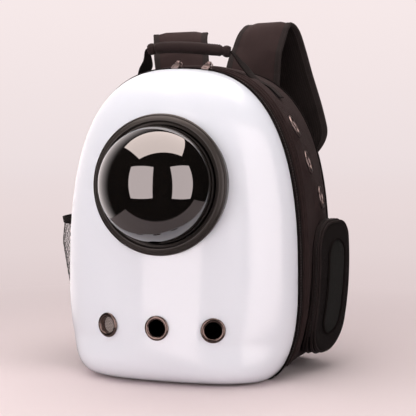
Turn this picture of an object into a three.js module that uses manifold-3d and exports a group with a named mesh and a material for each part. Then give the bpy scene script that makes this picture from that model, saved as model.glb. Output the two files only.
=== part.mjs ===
// A pet carrier backpack: a moulded front shell with a domed window, zipped to a fabric body.
// Millimetres, +Z up. The front faces -Y, +X is on the right seen from the front.
// The origin is on the floor, in the middle of the base.
import * as THREE from 'three';
import { mergeVertices } from 'three/addons/utils/BufferGeometryUtils.js';
import Module from 'manifold-3d';

const wasm = await Module();
wasm.setup();

// Clearance kept between neighbouring pieces
const GAP = 0.3;
// Edges and faces narrower than this are closed up after a cut
const SLIVER = 0.03;

// Outline of the bag seen from the front: flat foot, round lower corners, tall arch
const HALF_WIDTH = 163.6;
const WIDEST_Z = 123.5;
const HEIGHT = 417.6;
const FOOT_HALF = 122;
const ARCH_POWER = 2.66;
const CORNER_POWER = 2.3;
const FOOT_STEPS = 2;
const CORNER_STEPS = 6;
const ARCH_STEPS = 12;

// Depth of the body, from the shell's rim back to the back panel
const RIM_Y = -52;
const BODY_DEPTH = 165;
const BACK_Y = RIM_Y + BODY_DEPTH;
const CLOTH = 3;

// Front shell: a shallow dome, full at the crown, tight at the foot and round across
const SHELL_DEPTH = 95;
const SHELL_LEAN = 0.05;
const SHELL_MIDDLE_Z = 128;
const SHELL_WALL = 2.5;
const CROWN_POWER = 3.5;
const FOOT_POWER = 5.2;
const ACROSS_POWER = 1.85;
const ACROSS_FOOT = { power: 3.8, below: 30 };
const SHELL_RINGS = 8;
const RING_SPREAD = 2.6;

// Window ring and dome, on one axis that leans back
const WINDOW = { y: RIM_Y - 93.5, z: 266, lean: THREE.MathUtils.degToRad(4) };
const WINDOW_SIDES = 28;
const SHELL_HOLE = { radius: 78.7, long: 160 };
const RING_RADIUS = 92.4;
const RING_TAPER = 6;
const RING_BORE = 77.5;
const RING_LONG = 40;
// The ring's face: a rounded outer edge, a flat band and a step down to the bore
const RING_EDGE = { start: 4, shoulder: 0.8, shoulderIn: 1.6, topIn: 4 };
const RING_STEP = { out: 5, foot: 4.2, drop: 4.5, lip: 5.2 };
// The bubble is half a ball: its centre lies just in front of the ring's face
const DOME_RADIUS = 76.5;
const DOME_FORWARD = 1;
const DOME_WALL = 2.5;
const DOME_STEPS = 5;
const DOME_FLANGE = { radius: RING_BORE - GAP, from: -15, to: -11, fillet: 1.5 };
// Two round air holes low in the bubble: rise over the ring's face, and place round it
const AIR_HOLES = { radius: 8.5, rise: THREE.MathUtils.degToRad(12.5), turns: [-113, -86.5], sides: 10 };

// Rolled metal eyelets
const EYELET_RADIUS = 16.4;
const EYELET_BORE = 10.7;
const EYELET_HOLE = 11.5;
const EYELET_BARREL = 4.6;
const EYELET_WALL = 0.5;
const EYELET_SIDES = 12;
const EYELET_CUT = 30;
// The roll of the flange: its outer shoulder, its crown and its inner lip
const EYELET_ROLL = { shoulderIn: 0.8, shoulder: 2.3, crownIn: 3, crown: 3.2, lipOut: 0.7, lip: 2.1 };
const VENT_DISC = { radius: 12.2, thick: 0.8 };
const FRONT_EYELETS = [
  { side: 'left', x: -74, z: 77.9 },
  { side: 'centre', x: 0, z: 79.6 },
  { side: 'right', x: 72.5, z: 78.2 },
];
// Side eyelets follow the fold of the gusset, from top to bottom
const SIDE_EYELETS = [
  { row: 1, y: 16, z: 337 },
  { row: 2, y: 27, z: 289 },
  { row: 3, y: 62, z: 239 },
];

// Bands that run round the bag behind the shell: distance behind the rim, and bulge
const BANDS = [
  { name: 'shell_binding', from: 0, to: 6.5, bulge: 1.8, depth: 2, round: 1.4 },
  { name: 'zip_tape_front', from: 6.5, to: 11, bulge: 0.3, depth: 1.4, round: 0 },
  { name: 'zip_coil', from: 11, to: 17, bulge: 1.8, depth: 1.4, round: 1.2 },
  { name: 'zip_tape_back', from: 17, to: 28, bulge: 0.3, depth: 1.4, round: 0 },
];
const GUSSET_FROM = 28;
// The zip stops in the lower corners: a cloth hinge joins shell and body along the foot
const ZIP_END_STATION = FOOT_STEPS + 2;

// Gusset: flares to the back, and folds outwards along a slanting ridge
const FLARE = 3;
const FOLD = 3;
const FOLD_LINE = [
  { z: 418, y: 8 },
  { z: 337, y: 16 },
  { z: 289, y: 27 },
  { z: 239, y: 62 },
  { z: 150, y: 85 },
  { z: 0, y: 60 },
];

// Back panel and its binding
const PANEL_INSET = 3;
const PANEL_THICK = 7;
const PANEL_ROUND = { inset: 14, deep: 4 };
const BINDING = { bulge: 1.5, round: 1, deep: 5.5 };

// Zip sliders on the coil, and the pull tabs that hinge on their bridges
const SLIDERS = [
  { side: 'left', x: -9 },
  { side: 'right', x: 34 },
];
const SLIDER = { long: 12, wide: 10, tall: 3.8 };
const BRIDGE = { long: 12, wide: 2.2, hole: 8, under: 2.4, bar: 1.8 };
const TAB = { long: 20, wide: 10.5, neck: 5, neckEnd: 6, thick: 1.6, eye: 2.85, bore: 1.75 };
const TAB_DROOP = THREE.MathUtils.degToRad(24);

// Top handle: a padded grip on a webbing that is sewn to the gusset
const GRIP_RADIUS = 8;
const GRIP_PATH = [
  { x: -57.5, y: -24, z: 446 },
  { x: -32, y: -27, z: 448 },
  { x: 2, y: -27, z: 447.2 },
  { x: 34, y: -27, z: 444 },
  { x: 60, y: -23, z: 441 },
];
const GRIP_STEPS = 12;
const GRIP_SIDES = 8;
const GRIP_END = 0.86;
const HANDLE_WEB = { wide: 20, thick: 2, steps: 12, turnFrom: 0.25, turnTo: 0.55, lift: 0.8 };
// The webbing leaves the grip along its axis, and soon bends down
const GRIP_LEAD = { straight: 2.6, start: 0.9 };
const HANDLE_FEET = [
  { side: 'left', x: -92, turn: 0.6, rise: [{ x: -81, y: 16, z: 415 }, { x: -66, y: -9, z: 430.5 }] },
  { side: 'right', x: 98, turn: -0.1, rise: [{ x: 84.5, y: 18, z: 406 }, { x: 71, y: -5, z: 425 }] },
];
const HANDLE_FOOT_Y = 30;
const HANDLE_FOOT_LONG = 20;

// Shoulder straps: padded, sewn to the back panel, looping over and down behind the bag
const STRAP = { wide: 84, thick: 8, edge: 2.4, bevel: 5, steps: 20 };
const STRAP_ENDS = [
  { share: 0, wide: 1 },
  { share: 0.9, wide: 1 },
  { share: 0.95, wide: 0.86 },
  { share: 0.985, wide: 0.62 },
  { share: 1, wide: 0.42 },
];
const STRAP_PATHS = [
  {
    side: 'right',
    turns: [
      { share: 0.14, turn: 0 },
      { share: 0.24, turn: -0.22 },
      { share: 0.4, turn: -0.13 },
      { share: 0.7, turn: 0 },
    ],
    points: [
      { x: 47, y: 125, z: 372 },
      { x: 49, y: 127, z: 424 },
      { x: 56, y: 135, z: 462 },
      { x: 62.5, y: 144, z: 483 },
      { x: 66.5, y: 152.5, z: 489 },
      { x: 70, y: 161, z: 482 },
      { x: 77, y: 176, z: 446 },
      { x: 85, y: 186, z: 406 },
      { x: 100, y: 191, z: 352 },
      { x: 114, y: 189, z: 293 },
    ],
  },
  {
    side: 'left',
    turns: [
      { share: 0.14, turn: 0 },
      { share: 0.24, turn: 0.14 },
      { share: 0.4, turn: -0.06 },
      { share: 0.7, turn: 0 },
    ],
    points: [
      { x: -60, y: 125, z: 372 },
      { x: -62, y: 127, z: 420 },
      { x: -67, y: 134, z: 454 },
      { x: -70.5, y: 142, z: 472 },
      { x: -73, y: 151, z: 477.5 },
      { x: -75.5, y: 160, z: 471 },
      { x: -81, y: 175, z: 438 },
      { x: -87, y: 185, z: 400 },
      { x: -99, y: 190, z: 348 },
      { x: -110, y: 189, z: 300 },
    ],
  },
];
const ADJUSTER = { wide: 36, tall: 24, thick: 5, corner: 4 };
const STRAP_WEB = { wide: 28, thick: 2, steps: 10, lead: 14, bow: 10 };
const WEB_ANCHOR = { x: 122, z: 44, lie: 16, lift: 2.5 };

// Zip pocket on the right side: a pouch that stands further out at its back
// Its corners, in order: back foot, back top, front top, front foot
const POCKET = { y: 55, z: 115, halfLong: 45, halfTall: 92, corners: [38, 22, 43, 43], lean: 0.1, wall: 2 };
const POCKET_FACE = { x: 189.8, slope: 0.25 };
// The pouch's side wall and rounded edge: share of its height, and width left at that height
const POCKET_RINGS = [
  { share: 0, width: 1 },
  { share: 0.78, width: 1 },
  { share: 0.96, width: 0.95 },
  { share: 1, width: 0.9 },
];
const POCKET_SEAT = { outside: 8, inside: 16 };
const POCKET_CORNER_STEPS = 4;
const INSERT = { y: 55, z: 116, halfWide: 22, halfTall: 64, thick: 1.2, lean: 0.15, steps: 5 };
const PIPING_RADIUS = 1.5;
const PIPING_SIDES = 5;
const POCKET_ZIP = { share: 0.52, wide: 6, tall: 1.6, from: 5, to: 17 };
const POCKET_ZIP_SECTION = [
  { across: -0.5, lift: 0 },
  { across: -0.3, lift: 1 },
  { across: 0.3, lift: 1 },
  { across: 0.5, lift: 0 },
];

// Net pocket on the left side, open at the top under an elastic band
const NET = { frontY: -8, backY: 104, bottomZ: 24, topZ: 198, wall: 1.6, power: 3.4, sink: 0.6 };
// At its seams the wall starts inside the gusset's surface, and is then trimmed to it
const NET_ROOT = { deep: 4, fade: 9 };
const NET_BULGE = [
  { z: 24, bulge: 0 },
  { z: 40, bulge: 12 },
  { z: 75, bulge: 24 },
  { z: 120, bulge: 36 },
  { z: 170, bulge: 46 },
  { z: 198, bulge: 44 },
  { z: 215, bulge: 49 },
];
const NET_COLUMNS = 10;
const NET_ROWS = 6;
// Near its seams the wall turns to face front and back, so its inner face steps in along Y
const NET_SEAM = { share: 0.2, ramp: 0.125 };
const NET_BAND = { from: 198, to: 212, thick: 2.4 };

// Finishes
const finish = (color, roughness, metalness = 0) =>
  new THREE.MeshStandardMaterial({ color, roughness, metalness });
const WHITE_SHELL = finish(0xf4f0f5, 0.12);
const BLACK_PLASTIC = finish(0x1c1817, 0.35);
const SMOKED = finish(0x14110f, 0.05);
const BRONZE = finish(0x83716d, 0.3, 1);
const SILVER = finish(0xa99a96, 0.35, 1);
const FABRIC = finish(0x2c2321, 0.85);
const PADDED = finish(0x352b2a, 0.85);
const TAPE = finish(0x241d1b, 0.8);
const NET_CLOTH = finish(0x1a1513, 0.8);
const VENT_MESH = finish(0x77706d, 0.5, 1);

const bag = new THREE.Group();
const vector = (x, y, z) => new THREE.Vector3(x, y, z);
const asVector = (point) => vector(point.x, point.y, point.z);

// Merges a geometry's vertices and turns its faces outwards
function closedBody(geometry) {
  const source = geometry.clone();
  for (const name of Object.keys(source.attributes)) {
    if (name !== 'position') source.deleteAttribute(name);
  }
  const body = mergeVertices(source, 1e-4);
  const place = body.attributes.position;
  const kept = [];
  let volume = 0;
  const corner = [0, 1, 2].map(() => new THREE.Vector3());
  for (let i = 0; i < body.index.count; i += 3) {
    const ids = [0, 1, 2].map((k) => body.index.getX(i + k));
    if (new Set(ids).size < 3) continue;
    kept.push(ids);
    corner.forEach((c, k) => c.fromBufferAttribute(place, ids[k]));
    volume += corner[0].dot(corner[1].clone().cross(corner[2]));
  }
  body.setIndex(kept.flatMap((ids) => (volume < 0 ? ids.toReversed() : ids)));
  return body;
}

function toSolid(geometry) {
  const body = closedBody(geometry);
  return new wasm.Manifold(new wasm.Mesh({
    numProp: 3,
    vertProperties: new Float32Array(body.attributes.position.array),
    triVerts: new Uint32Array(body.index.array),
  }));
}

function fromSolid(solid) {
  const mesh = solid.simplify(SLIVER).getMesh();
  const geometry = new THREE.BufferGeometry();
  const stride = mesh.numProp;
  const positions = [];
  for (let i = 0; i < mesh.numVert; i += 1) {
    positions.push(...mesh.vertProperties.slice(i * stride, i * stride + 3));
  }
  geometry.setAttribute('position', new THREE.Float32BufferAttribute(positions, 3));
  geometry.setIndex(Array.from(mesh.triVerts));
  return geometry;
}

function addPiece(name, geometry, material, parent = bag) {
  const mesh = new THREE.Mesh(closedBody(geometry), material);
  mesh.name = name;
  parent.add(mesh);
  return mesh;
}

// Closes the end of a run: a strip bent in an arc across its width, any other section from its middle
function endFaces(points, start, sides, strip) {
  const faces = [];
  if (strip) {
    for (let s = 0; s < sides / 2 - 1; s += 1) {
      const [a, b, c, d] = [s, s + 1, sides - 2 - s, sides - 1 - s].map((k) => start + k);
      faces.push([a, b, c], [a, c, d]);
    }
    return faces;
  }
  const middle = new THREE.Vector3();
  for (let s = 0; s < sides; s += 1) middle.addScaledVector(points[start + s], 1 / sides);
  const hub = points.push(middle) - 1;
  for (let s = 0; s < sides; s += 1) faces.push([hub, start + s, start + ((s + 1) % sides)]);
  return faces;
}

// Joins rings of points into a closed skin: a loop of rings, or a run with closed ends
function loft(rings, loop = false, strip = false) {
  const sides = rings[0].length;
  const points = rings.flat();
  const faces = [];
  const spans = loop ? rings.length : rings.length - 1;
  for (let r = 0; r < spans; r += 1) {
    const next = (r + 1) % rings.length;
    for (let s = 0; s < sides; s += 1) {
      const t = (s + 1) % sides;
      const [a, b] = [r * sides + s, r * sides + t];
      const [c, d] = [next * sides + t, next * sides + s];
      faces.push(a, b, c, a, c, d);
    }
  }
  if (!loop) {
    const first = endFaces(points, 0, sides, strip).map((face) => face.toReversed());
    const last = endFaces(points, (rings.length - 1) * sides, sides, strip);
    faces.push(...first.flat(), ...last.flat());
  }
  const geometry = new THREE.BufferGeometry().setFromPoints(points);
  geometry.setIndex(faces);
  return geometry;
}

// Reads a column of a short table at a given height, with straight runs between rows
function readTable(rows, key, column, value) {
  const sorted = rows.toSorted((a, b) => a[key] - b[key]);
  if (value <= sorted[0][key]) return sorted[0][column];
  for (let i = 1; i < sorted.length; i += 1) {
    const [low, high] = [sorted[i - 1], sorted[i]];
    if (value <= high[key]) {
      return THREE.MathUtils.mapLinear(value, low[key], high[key], low[column], high[column]);
    }
  }
  return sorted.at(-1)[column];
}

// The outline: stations from the middle of the foot, up the right side and round
function outlineHalf() {
  const half = [];
  for (let i = 0; i < FOOT_STEPS; i += 1) half.push({ x: (FOOT_HALF * i) / FOOT_STEPS, z: 0 });
  for (let i = 0; i < CORNER_STEPS; i += 1) {
    const angle = (Math.PI / 2) * (i / CORNER_STEPS);
    const power = 2 / CORNER_POWER;
    half.push({
      x: FOOT_HALF + (HALF_WIDTH - FOOT_HALF) * Math.sin(angle) ** power,
      z: WIDEST_Z * (1 - Math.cos(angle) ** power),
    });
  }
  for (let i = 0; i <= ARCH_STEPS; i += 1) {
    const angle = (Math.PI / 2) * (i / ARCH_STEPS);
    const power = 2 / ARCH_POWER;
    half.push({
      x: HALF_WIDTH * Math.max(0, Math.cos(angle)) ** power,
      z: WIDEST_Z + (HEIGHT - WIDEST_Z) * Math.sin(angle) ** power,
    });
  }
  half.at(-1).x = 0;
  return half;
}

function outlineStations() {
  const right = outlineHalf();
  const left = right.slice(1, -1).reverse().map((p) => ({ x: -p.x, z: p.z }));
  const loop = [...right, ...left];
  return loop.map((p, i) => {
    const before = loop[(i + loop.length - 1) % loop.length];
    const after = loop[(i + 1) % loop.length];
    const along = new THREE.Vector2(after.x - before.x, after.z - before.z).normalize();
    return { ...p, outX: along.y, outZ: -along.x };
  });
}
const STATIONS = outlineStations();

// A point on the outline moved outwards, and never under the floor
function onOutline(station, out, y) {
  return vector(station.x + station.outX * out, y, Math.max(0, station.z + station.outZ * out));
}

function halfWidthAt(z) {
  if (z >= WIDEST_Z) {
    const rise = Math.min(1, (z - WIDEST_Z) / (HEIGHT - WIDEST_Z));
    return HALF_WIDTH * (1 - rise ** ARCH_POWER) ** (1 / ARCH_POWER);
  }
  const fall = Math.min(1, (WIDEST_Z - z) / WIDEST_Z);
  return FOOT_HALF + (HALF_WIDTH - FOOT_HALF) * (1 - fall ** CORNER_POWER) ** (1 / CORNER_POWER);
}

function topZAt(x) {
  const share = Math.abs(x) / HALF_WIDTH;
  return WIDEST_Z + (HEIGHT - WIDEST_Z) * (1 - share ** ARCH_POWER) ** (1 / ARCH_POWER);
}

// Front shell: its depth at a place seen from the front, for a shell grown by a clearance
function shellFrontY(x, z, grow = 0) {
  const [low, high] = [-grow, HEIGHT + grow];
  const [reach, power] = z >= SHELL_MIDDLE_Z
    ? [(z - SHELL_MIDDLE_Z) / (high - SHELL_MIDDLE_Z), CROWN_POWER]
    : [(SHELL_MIDDLE_Z - z) / (SHELL_MIDDLE_Z - low), FOOT_POWER];
  const upright = Math.max(0, 1 - reach ** power) ** (1 / power);
  const footBlend = THREE.MathUtils.smoothstep(ACROSS_FOOT.below - z, 0, ACROSS_FOOT.below);
  const bend = THREE.MathUtils.lerp(ACROSS_POWER, ACROSS_FOOT.power, footBlend);
  const aside = Math.abs(x) / (halfWidthAt(z) + grow);
  const across = Math.max(0, 1 - aside ** bend) ** (1 / bend);
  return RIM_Y - (SHELL_DEPTH - SHELL_LEAN * (z - SHELL_MIDDLE_Z) + grow) * upright * across;
}

function shellBody(grow, backY) {
  const rims = STATIONS.map((s) => ({
    x: s.x + s.outX * grow,
    z: s.z + s.outZ * grow,
  }));
  const rings = [rims.map(({ x, z }) => vector(x, backY, z))];
  for (let i = 0; i <= SHELL_RINGS; i += 1) {
    const share = 1 - (i / (SHELL_RINGS + 1)) ** RING_SPREAD;
    rings.push(rims.map((rim) => {
      const x = rim.x * share;
      const z = SHELL_MIDDLE_Z + (rim.z - SHELL_MIDDLE_Z) * share;
      return vector(x, i === 0 ? RIM_Y : shellFrontY(x, z, grow), z);
    }));
  }
  return toSolid(loft(rings));
}

function shellNormal(x, z) {
  const step = 2;
  const slopeX = (shellFrontY(x + step, z) - shellFrontY(x - step, z)) / (2 * step);
  const slopeZ = (shellFrontY(x, z + step) - shellFrontY(x, z - step)) / (2 * step);
  return vector(slopeX, -1, slopeZ).normalize();
}

// Turns a lathe about +Y so that it stands on a surface with the given outward direction
function standOn(geometry, point, outward) {
  const turn = new THREE.Quaternion().setFromUnitVectors(vector(0, 1, 0), outward);
  return geometry.applyQuaternion(turn).translate(point.x, point.y, point.z);
}

const lathe = (profile, segments) =>
  new THREE.LatheGeometry(profile.map(([r, h]) => new THREE.Vector2(r, h)), segments);

const WINDOW_AXIS = vector(0, -Math.cos(WINDOW.lean), Math.sin(WINDOW.lean));
const WINDOW_POINT = vector(0, WINDOW.y, WINDOW.z);
const cutCylinder = (radius, length, sides) => new THREE.CylinderGeometry(radius, radius, length, sides);

function makeShell() {
  const { radius, long } = SHELL_HOLE;
  const windowCut = standOn(cutCylinder(radius, long, WINDOW_SIDES), WINDOW_POINT, WINDOW_AXIS);
  let shell = shellBody(0, RIM_Y).subtract(shellBody(-SHELL_WALL, RIM_Y + 1));
  shell = shell.subtract(toSolid(windowCut));
  for (const { x, z } of FRONT_EYELETS) {
    const place = vector(x, shellFrontY(x, z), z);
    const hole = cutCylinder(EYELET_HOLE, EYELET_CUT, EYELET_SIDES);
    shell = shell.subtract(toSolid(standOn(hole, place, shellNormal(x, z))));
  }
  addPiece('front_shell', fromSolid(shell), WHITE_SHELL);
}

// The ring's face steps down to the bore, and its foot is shaped to the shell
function makeWindow() {
  const ringProfile = [
    [RING_BORE, -RING_LONG],
    [RING_RADIUS - RING_TAPER, -RING_LONG],
    [RING_RADIUS, -RING_EDGE.start],
    [RING_RADIUS - RING_EDGE.shoulderIn, -RING_EDGE.shoulder],
    [RING_RADIUS - RING_EDGE.topIn, 0],
    [RING_BORE + RING_STEP.out, 0],
    [RING_BORE + RING_STEP.foot, -RING_STEP.drop],
    [RING_BORE, -RING_STEP.lip],
    [RING_BORE, -RING_LONG],
  ];
  const ring = toSolid(standOn(lathe(ringProfile, WINDOW_SIDES), WINDOW_POINT, WINDOW_AXIS));
  addPiece('window_ring', fromSolid(ring.subtract(shellBody(GAP, RIM_Y))), BLACK_PLASTIC);

  // The dome is a blown bubble on a flange that the ring's bore holds
  const neckAngle = -Math.asin(DOME_FORWARD / DOME_RADIUS);
  const arc = (radius) => Array.from({ length: DOME_STEPS + 1 }, (_, i) => {
    const angle = THREE.MathUtils.lerp(neckAngle, Math.PI / 2, i / DOME_STEPS);
    return [i === DOME_STEPS ? 0 : radius * Math.cos(angle), DOME_FORWARD + radius * Math.sin(angle)];
  });
  const [outer, inner] = [arc(DOME_RADIUS), arc(DOME_RADIUS - DOME_WALL).reverse()];
  const [neck, innerNeck] = [outer[0][0], inner.at(-1)[0]];
  const { radius, from, to, fillet } = DOME_FLANGE;
  const flange = [[innerNeck, from], [radius, from], [radius, to], [neck, to + fillet]];
  const profile = [...flange, ...outer, ...inner, [innerNeck, from]];
  let dome = toSolid(standOn(lathe(profile, WINDOW_SIDES), WINDOW_POINT, WINDOW_AXIS));
  const centre = WINDOW_POINT.clone().addScaledVector(WINDOW_AXIS, DOME_FORWARD);
  const up = vector(1, 0, 0).cross(WINDOW_AXIS).negate();
  for (const degrees of AIR_HOLES.turns) {
    const turn = THREE.MathUtils.degToRad(degrees);
    const aside = vector(Math.cos(turn), 0, 0).addScaledVector(up, Math.sin(turn));
    const out = aside.multiplyScalar(Math.cos(AIR_HOLES.rise));
    out.addScaledVector(WINDOW_AXIS, Math.sin(AIR_HOLES.rise));
    const hole = cutCylinder(AIR_HOLES.radius, 6 * DOME_WALL, AIR_HOLES.sides);
    const place = centre.clone().addScaledVector(out, DOME_RADIUS);
    dome = dome.subtract(toSolid(standOn(hole, place, out)));
  }
  addPiece('dome_window', fromSolid(dome), SMOKED);
}

// Eyelets: a rolled flange in front of the wall and a barrel through it
function eyelet(point, outward) {
  const { shoulderIn, shoulder, crownIn, crown, lipOut, lip } = EYELET_ROLL;
  const profile = [
    [EYELET_BORE, -EYELET_BARREL],
    [EYELET_BORE + EYELET_WALL, -EYELET_BARREL],
    [EYELET_BORE + EYELET_WALL, GAP],
    [EYELET_RADIUS, GAP],
    [EYELET_RADIUS - shoulderIn, shoulder],
    [EYELET_RADIUS - crownIn, crown],
    [EYELET_BORE + lipOut, lip],
    [EYELET_BORE, -EYELET_BARREL],
  ];
  return standOn(lathe(profile, EYELET_SIDES), point, outward);
}

function makeFrontEyelets() {
  for (const { side, x, z } of FRONT_EYELETS) {
    const point = vector(x, shellFrontY(x, z), z);
    addPiece(`front_eyelet_${side}`, eyelet(point, shellNormal(x, z)), BRONZE);
  }
  // A disc of woven wire closes the left vent behind its barrel
  const { x, z } = FRONT_EYELETS[0];
  const { radius, thick } = VENT_DISC;
  const out = shellNormal(x, z);
  const point = vector(x, shellFrontY(x, z), z).addScaledVector(out, -EYELET_BARREL - GAP - thick / 2);
  addPiece('vent_mesh', standOn(cutCylinder(radius, thick, EYELET_SIDES), point, out), VENT_MESH);
}

// Bands: each is one cross-section carried round the outline
function bandRing(station, { from, to, bulge, depth, round }) {
  const [front, back] = [RIM_Y + from + GAP, RIM_Y + to];
  const flat = [onOutline(station, -depth, back), onOutline(station, -depth, front)];
  if (!round) return [...flat, onOutline(station, bulge, front), onOutline(station, bulge, back)];
  return [
    ...flat,
    onOutline(station, bulge - round, front),
    onOutline(station, bulge, front + round),
    onOutline(station, bulge, back - round),
    onOutline(station, bulge - round, back),
  ];
}

// Draws the last ring of an open run back by half the clearance
function trimEnds(rings) {
  const ends = [[0, 1], [rings.length - 1, rings.length - 2]];
  for (const [end, inner] of ends) {
    const reach = rings[end][0].distanceTo(rings[inner][0]);
    rings[end].forEach((p, i) => p.lerp(rings[inner][i], GAP / 2 / reach));
  }
  return rings;
}

function makeBands() {
  const lastZip = STATIONS.length - ZIP_END_STATION;
  const arch = STATIONS.slice(ZIP_END_STATION, lastZip + 1);
  const foot = [...STATIONS.slice(lastZip), ...STATIONS.slice(0, ZIP_END_STATION + 1)];
  const [binding, ...zip] = BANDS;
  addPiece(binding.name, loft(STATIONS.map((s) => bandRing(s, binding)), true), TAPE);
  for (const band of zip) {
    addPiece(band.name, loft(trimEnds(arch.map((s) => bandRing(s, band)))), TAPE);
  }
  const hinge = { from: binding.to, to: GUSSET_FROM, bulge: 0, depth: 2, round: 0 };
  addPiece('foot_hinge', loft(trimEnds(foot.map((s) => bandRing(s, hinge)))), FABRIC);
}

// The foot stays flat: what swells higher up fades out towards the floor
const offFloor = (z) => THREE.MathUtils.smoothstep(z, 10, 120);

// Gusset: how far its surface stands out from the outline at a given depth and height
function gussetOut(y, z) {
  const front = RIM_Y + GUSSET_FROM;
  const ridge = readTable(FOLD_LINE, 'z', 'y', z);
  const rise = y < ridge ? (y - front) / (ridge - front) : (BACK_Y - y) / (BACK_Y - ridge);
  const flare = (FLARE * (y - front)) / (BACK_Y - front);
  return (flare + FOLD * Math.max(0, rise) ** 0.86) * offFloor(z);
}

function gussetSideX(y, z) {
  return halfWidthAt(z) + gussetOut(y, z);
}

function gussetRow(station, grow) {
  const front = RIM_Y + GUSSET_FROM + GAP;
  const ridge = readTable(FOLD_LINE, 'z', 'y', station.z);
  const depths = [front, (front + ridge) / 2, ridge, (ridge + BACK_Y) / 2, BACK_Y];
  return depths.map((y) => onOutline(station, gussetOut(y, station.z) + grow, y));
}

// The filled body, a clearance larger all round, shapes the seat of each piece sewn to the gusset
function bodyCutter() {
  const rows = STATIONS.map((s) => gussetRow(s, GAP));
  return toSolid(loft(rows[0].map((_, i) => rows.map((row) => row[i]))));
}

function sewnOn(geometry) {
  return fromSolid(toSolid(geometry).subtract(bodyCutter()));
}

function makeGusset() {
  const rings = STATIONS.map((s) => [...gussetRow(s, 0), ...gussetRow(s, -CLOTH).reverse()]);
  let gusset = toSolid(loft(rings, true));
  const eyelets = [];
  for (const { row, y, z } of SIDE_EYELETS) {
    const slope = (halfWidthAt(z + 1) - halfWidthAt(z - 1)) / 2;
    for (const [side, sign] of [['right', 1], ['left', -1]]) {
      const out = vector(sign, 0, -slope).normalize();
      const point = vector(sign * halfWidthAt(z), y, z).addScaledVector(out, gussetOut(y, z));
      const hole = cutCylinder(EYELET_HOLE, EYELET_CUT, EYELET_SIDES);
      gusset = gusset.subtract(toSolid(standOn(hole, point, out)));
      eyelets.push({ name: `side_eyelet_${side}_${row}`, point, out });
    }
  }
  addPiece('gusset', fromSolid(gusset), FABRIC);
  for (const { name, point, out } of eyelets) addPiece(name, eyelet(point, out), SILVER);
}

// Back panel: a padded board inside a rolled binding
function makeBack() {
  const front = BACK_Y + GAP;
  const panelRows = [
    { inset: PANEL_INSET + GAP, y: front },
    { inset: PANEL_INSET + GAP, y: front + PANEL_THICK - PANEL_ROUND.deep },
    { inset: PANEL_INSET + PANEL_ROUND.inset, y: front + PANEL_THICK },
  ];
  const seatOut = (station) => FLARE * offFloor(station.z);
  const rings = panelRows.map(({ inset, y }) => STATIONS.map((s) => onOutline(s, seatOut(s) - inset, y)));
  addPiece('back_panel', loft(rings), PADDED);
  const bindingRows = [
    { out: -PANEL_INSET, behind: 0 },
    { out: BINDING.bulge - BINDING.round, behind: 0 },
    { out: BINDING.bulge, behind: BINDING.round },
    { out: BINDING.bulge - BINDING.round, behind: BINDING.deep },
    { out: -PANEL_INSET, behind: BINDING.deep },
  ];
  const bindingRings = STATIONS.map((s) =>
    bindingRows.map(({ out, behind }) => onOutline(s, seatOut(s) + out, front + behind)));
  addPiece('back_binding', loft(bindingRings, true), TAPE);
}

// Zip sliders and pull tabs, turned to the slope of the arch under them
function makeZipPulls() {
  const coil = BANDS.find((band) => band.name === 'zip_coil');
  for (const { side, x } of SLIDERS) {
    const slope = (topZAt(x + 1) - topZAt(x - 1)) / 2;
    const place = new THREE.Group();
    place.position.set(x, RIM_Y + (coil.from + coil.to) / 2, topZAt(x) + coil.bulge + GAP);
    place.rotation.y = -Math.atan(slope);
    bag.add(place);

    const body = new THREE.BoxGeometry(SLIDER.long, SLIDER.wide, SLIDER.tall);
    body.translate(0, 0, SLIDER.tall / 2);
    const archHeight = BRIDGE.under + BRIDGE.bar;
    const arch = new THREE.BoxGeometry(BRIDGE.long, BRIDGE.wide, archHeight + 1);
    arch.translate(0, 0, SLIDER.tall + (archHeight - 1) / 2);
    const hole = new THREE.BoxGeometry(BRIDGE.hole, BRIDGE.wide + 2, BRIDGE.under);
    hole.translate(0, 0, SLIDER.tall + BRIDGE.under / 2);
    const slider = toSolid(body).add(toSolid(arch)).subtract(toSolid(hole));
    addPiece(`zip_slider_${side}`, fromSolid(slider), SILVER, place);

    const hinge = new THREE.Group();
    hinge.position.z = SLIDER.tall + BRIDGE.under + BRIDGE.bar / 2;
    hinge.rotation.x = TAB_DROOP;
    place.add(hinge);
    const alongX = (geometry) => geometry.rotateZ(Math.PI / 2);
    const eye = alongX(cutCylinder(TAB.eye, TAB.neck, 12));
    const bore = alongX(cutCylinder(TAB.bore, TAB.neck + 2, 12));
    const neck = new THREE.BoxGeometry(TAB.neck, TAB.neckEnd, TAB.thick);
    neck.translate(0, -TAB.neckEnd / 2 - 0.5, 0);
    const plateLong = TAB.long - TAB.neckEnd;
    const plate = new THREE.BoxGeometry(TAB.wide, plateLong, TAB.thick);
    plate.translate(0, -TAB.neckEnd - plateLong / 2, 0);
    const tab = toSolid(eye).add(toSolid(neck)).add(toSolid(plate)).subtract(toSolid(bore));
    addPiece(`pull_tab_${side}`, fromSolid(tab), SILVER, hinge);
  }
}

// Ribbons and pads: a flat section carried along a path, with its width held near one direction
function ribbon(path, steps, across, section) {
  const rings = [];
  for (let i = 0; i <= steps; i += 1) {
    const share = i / steps;
    const point = path.getPointAt(share);
    const along = path.getTangentAt(share);
    const wide = asVector(across(share));
    wide.addScaledVector(along, -along.dot(wide)).normalize();
    const up = along.clone().cross(wide);
    rings.push(section(share).map(([w, h]) => point.clone().addScaledVector(wide, w).addScaledVector(up, h)));
  }
  return loft(rings);
}

function flatSection(wide, thick) {
  const [w, t] = [wide / 2, thick / 2];
  return [[-w, -t], [w, -t], [w, t], [-w, t]];
}

const smoothPath = (points) => new THREE.CatmullRomCurve3(points.map(asVector));

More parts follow.
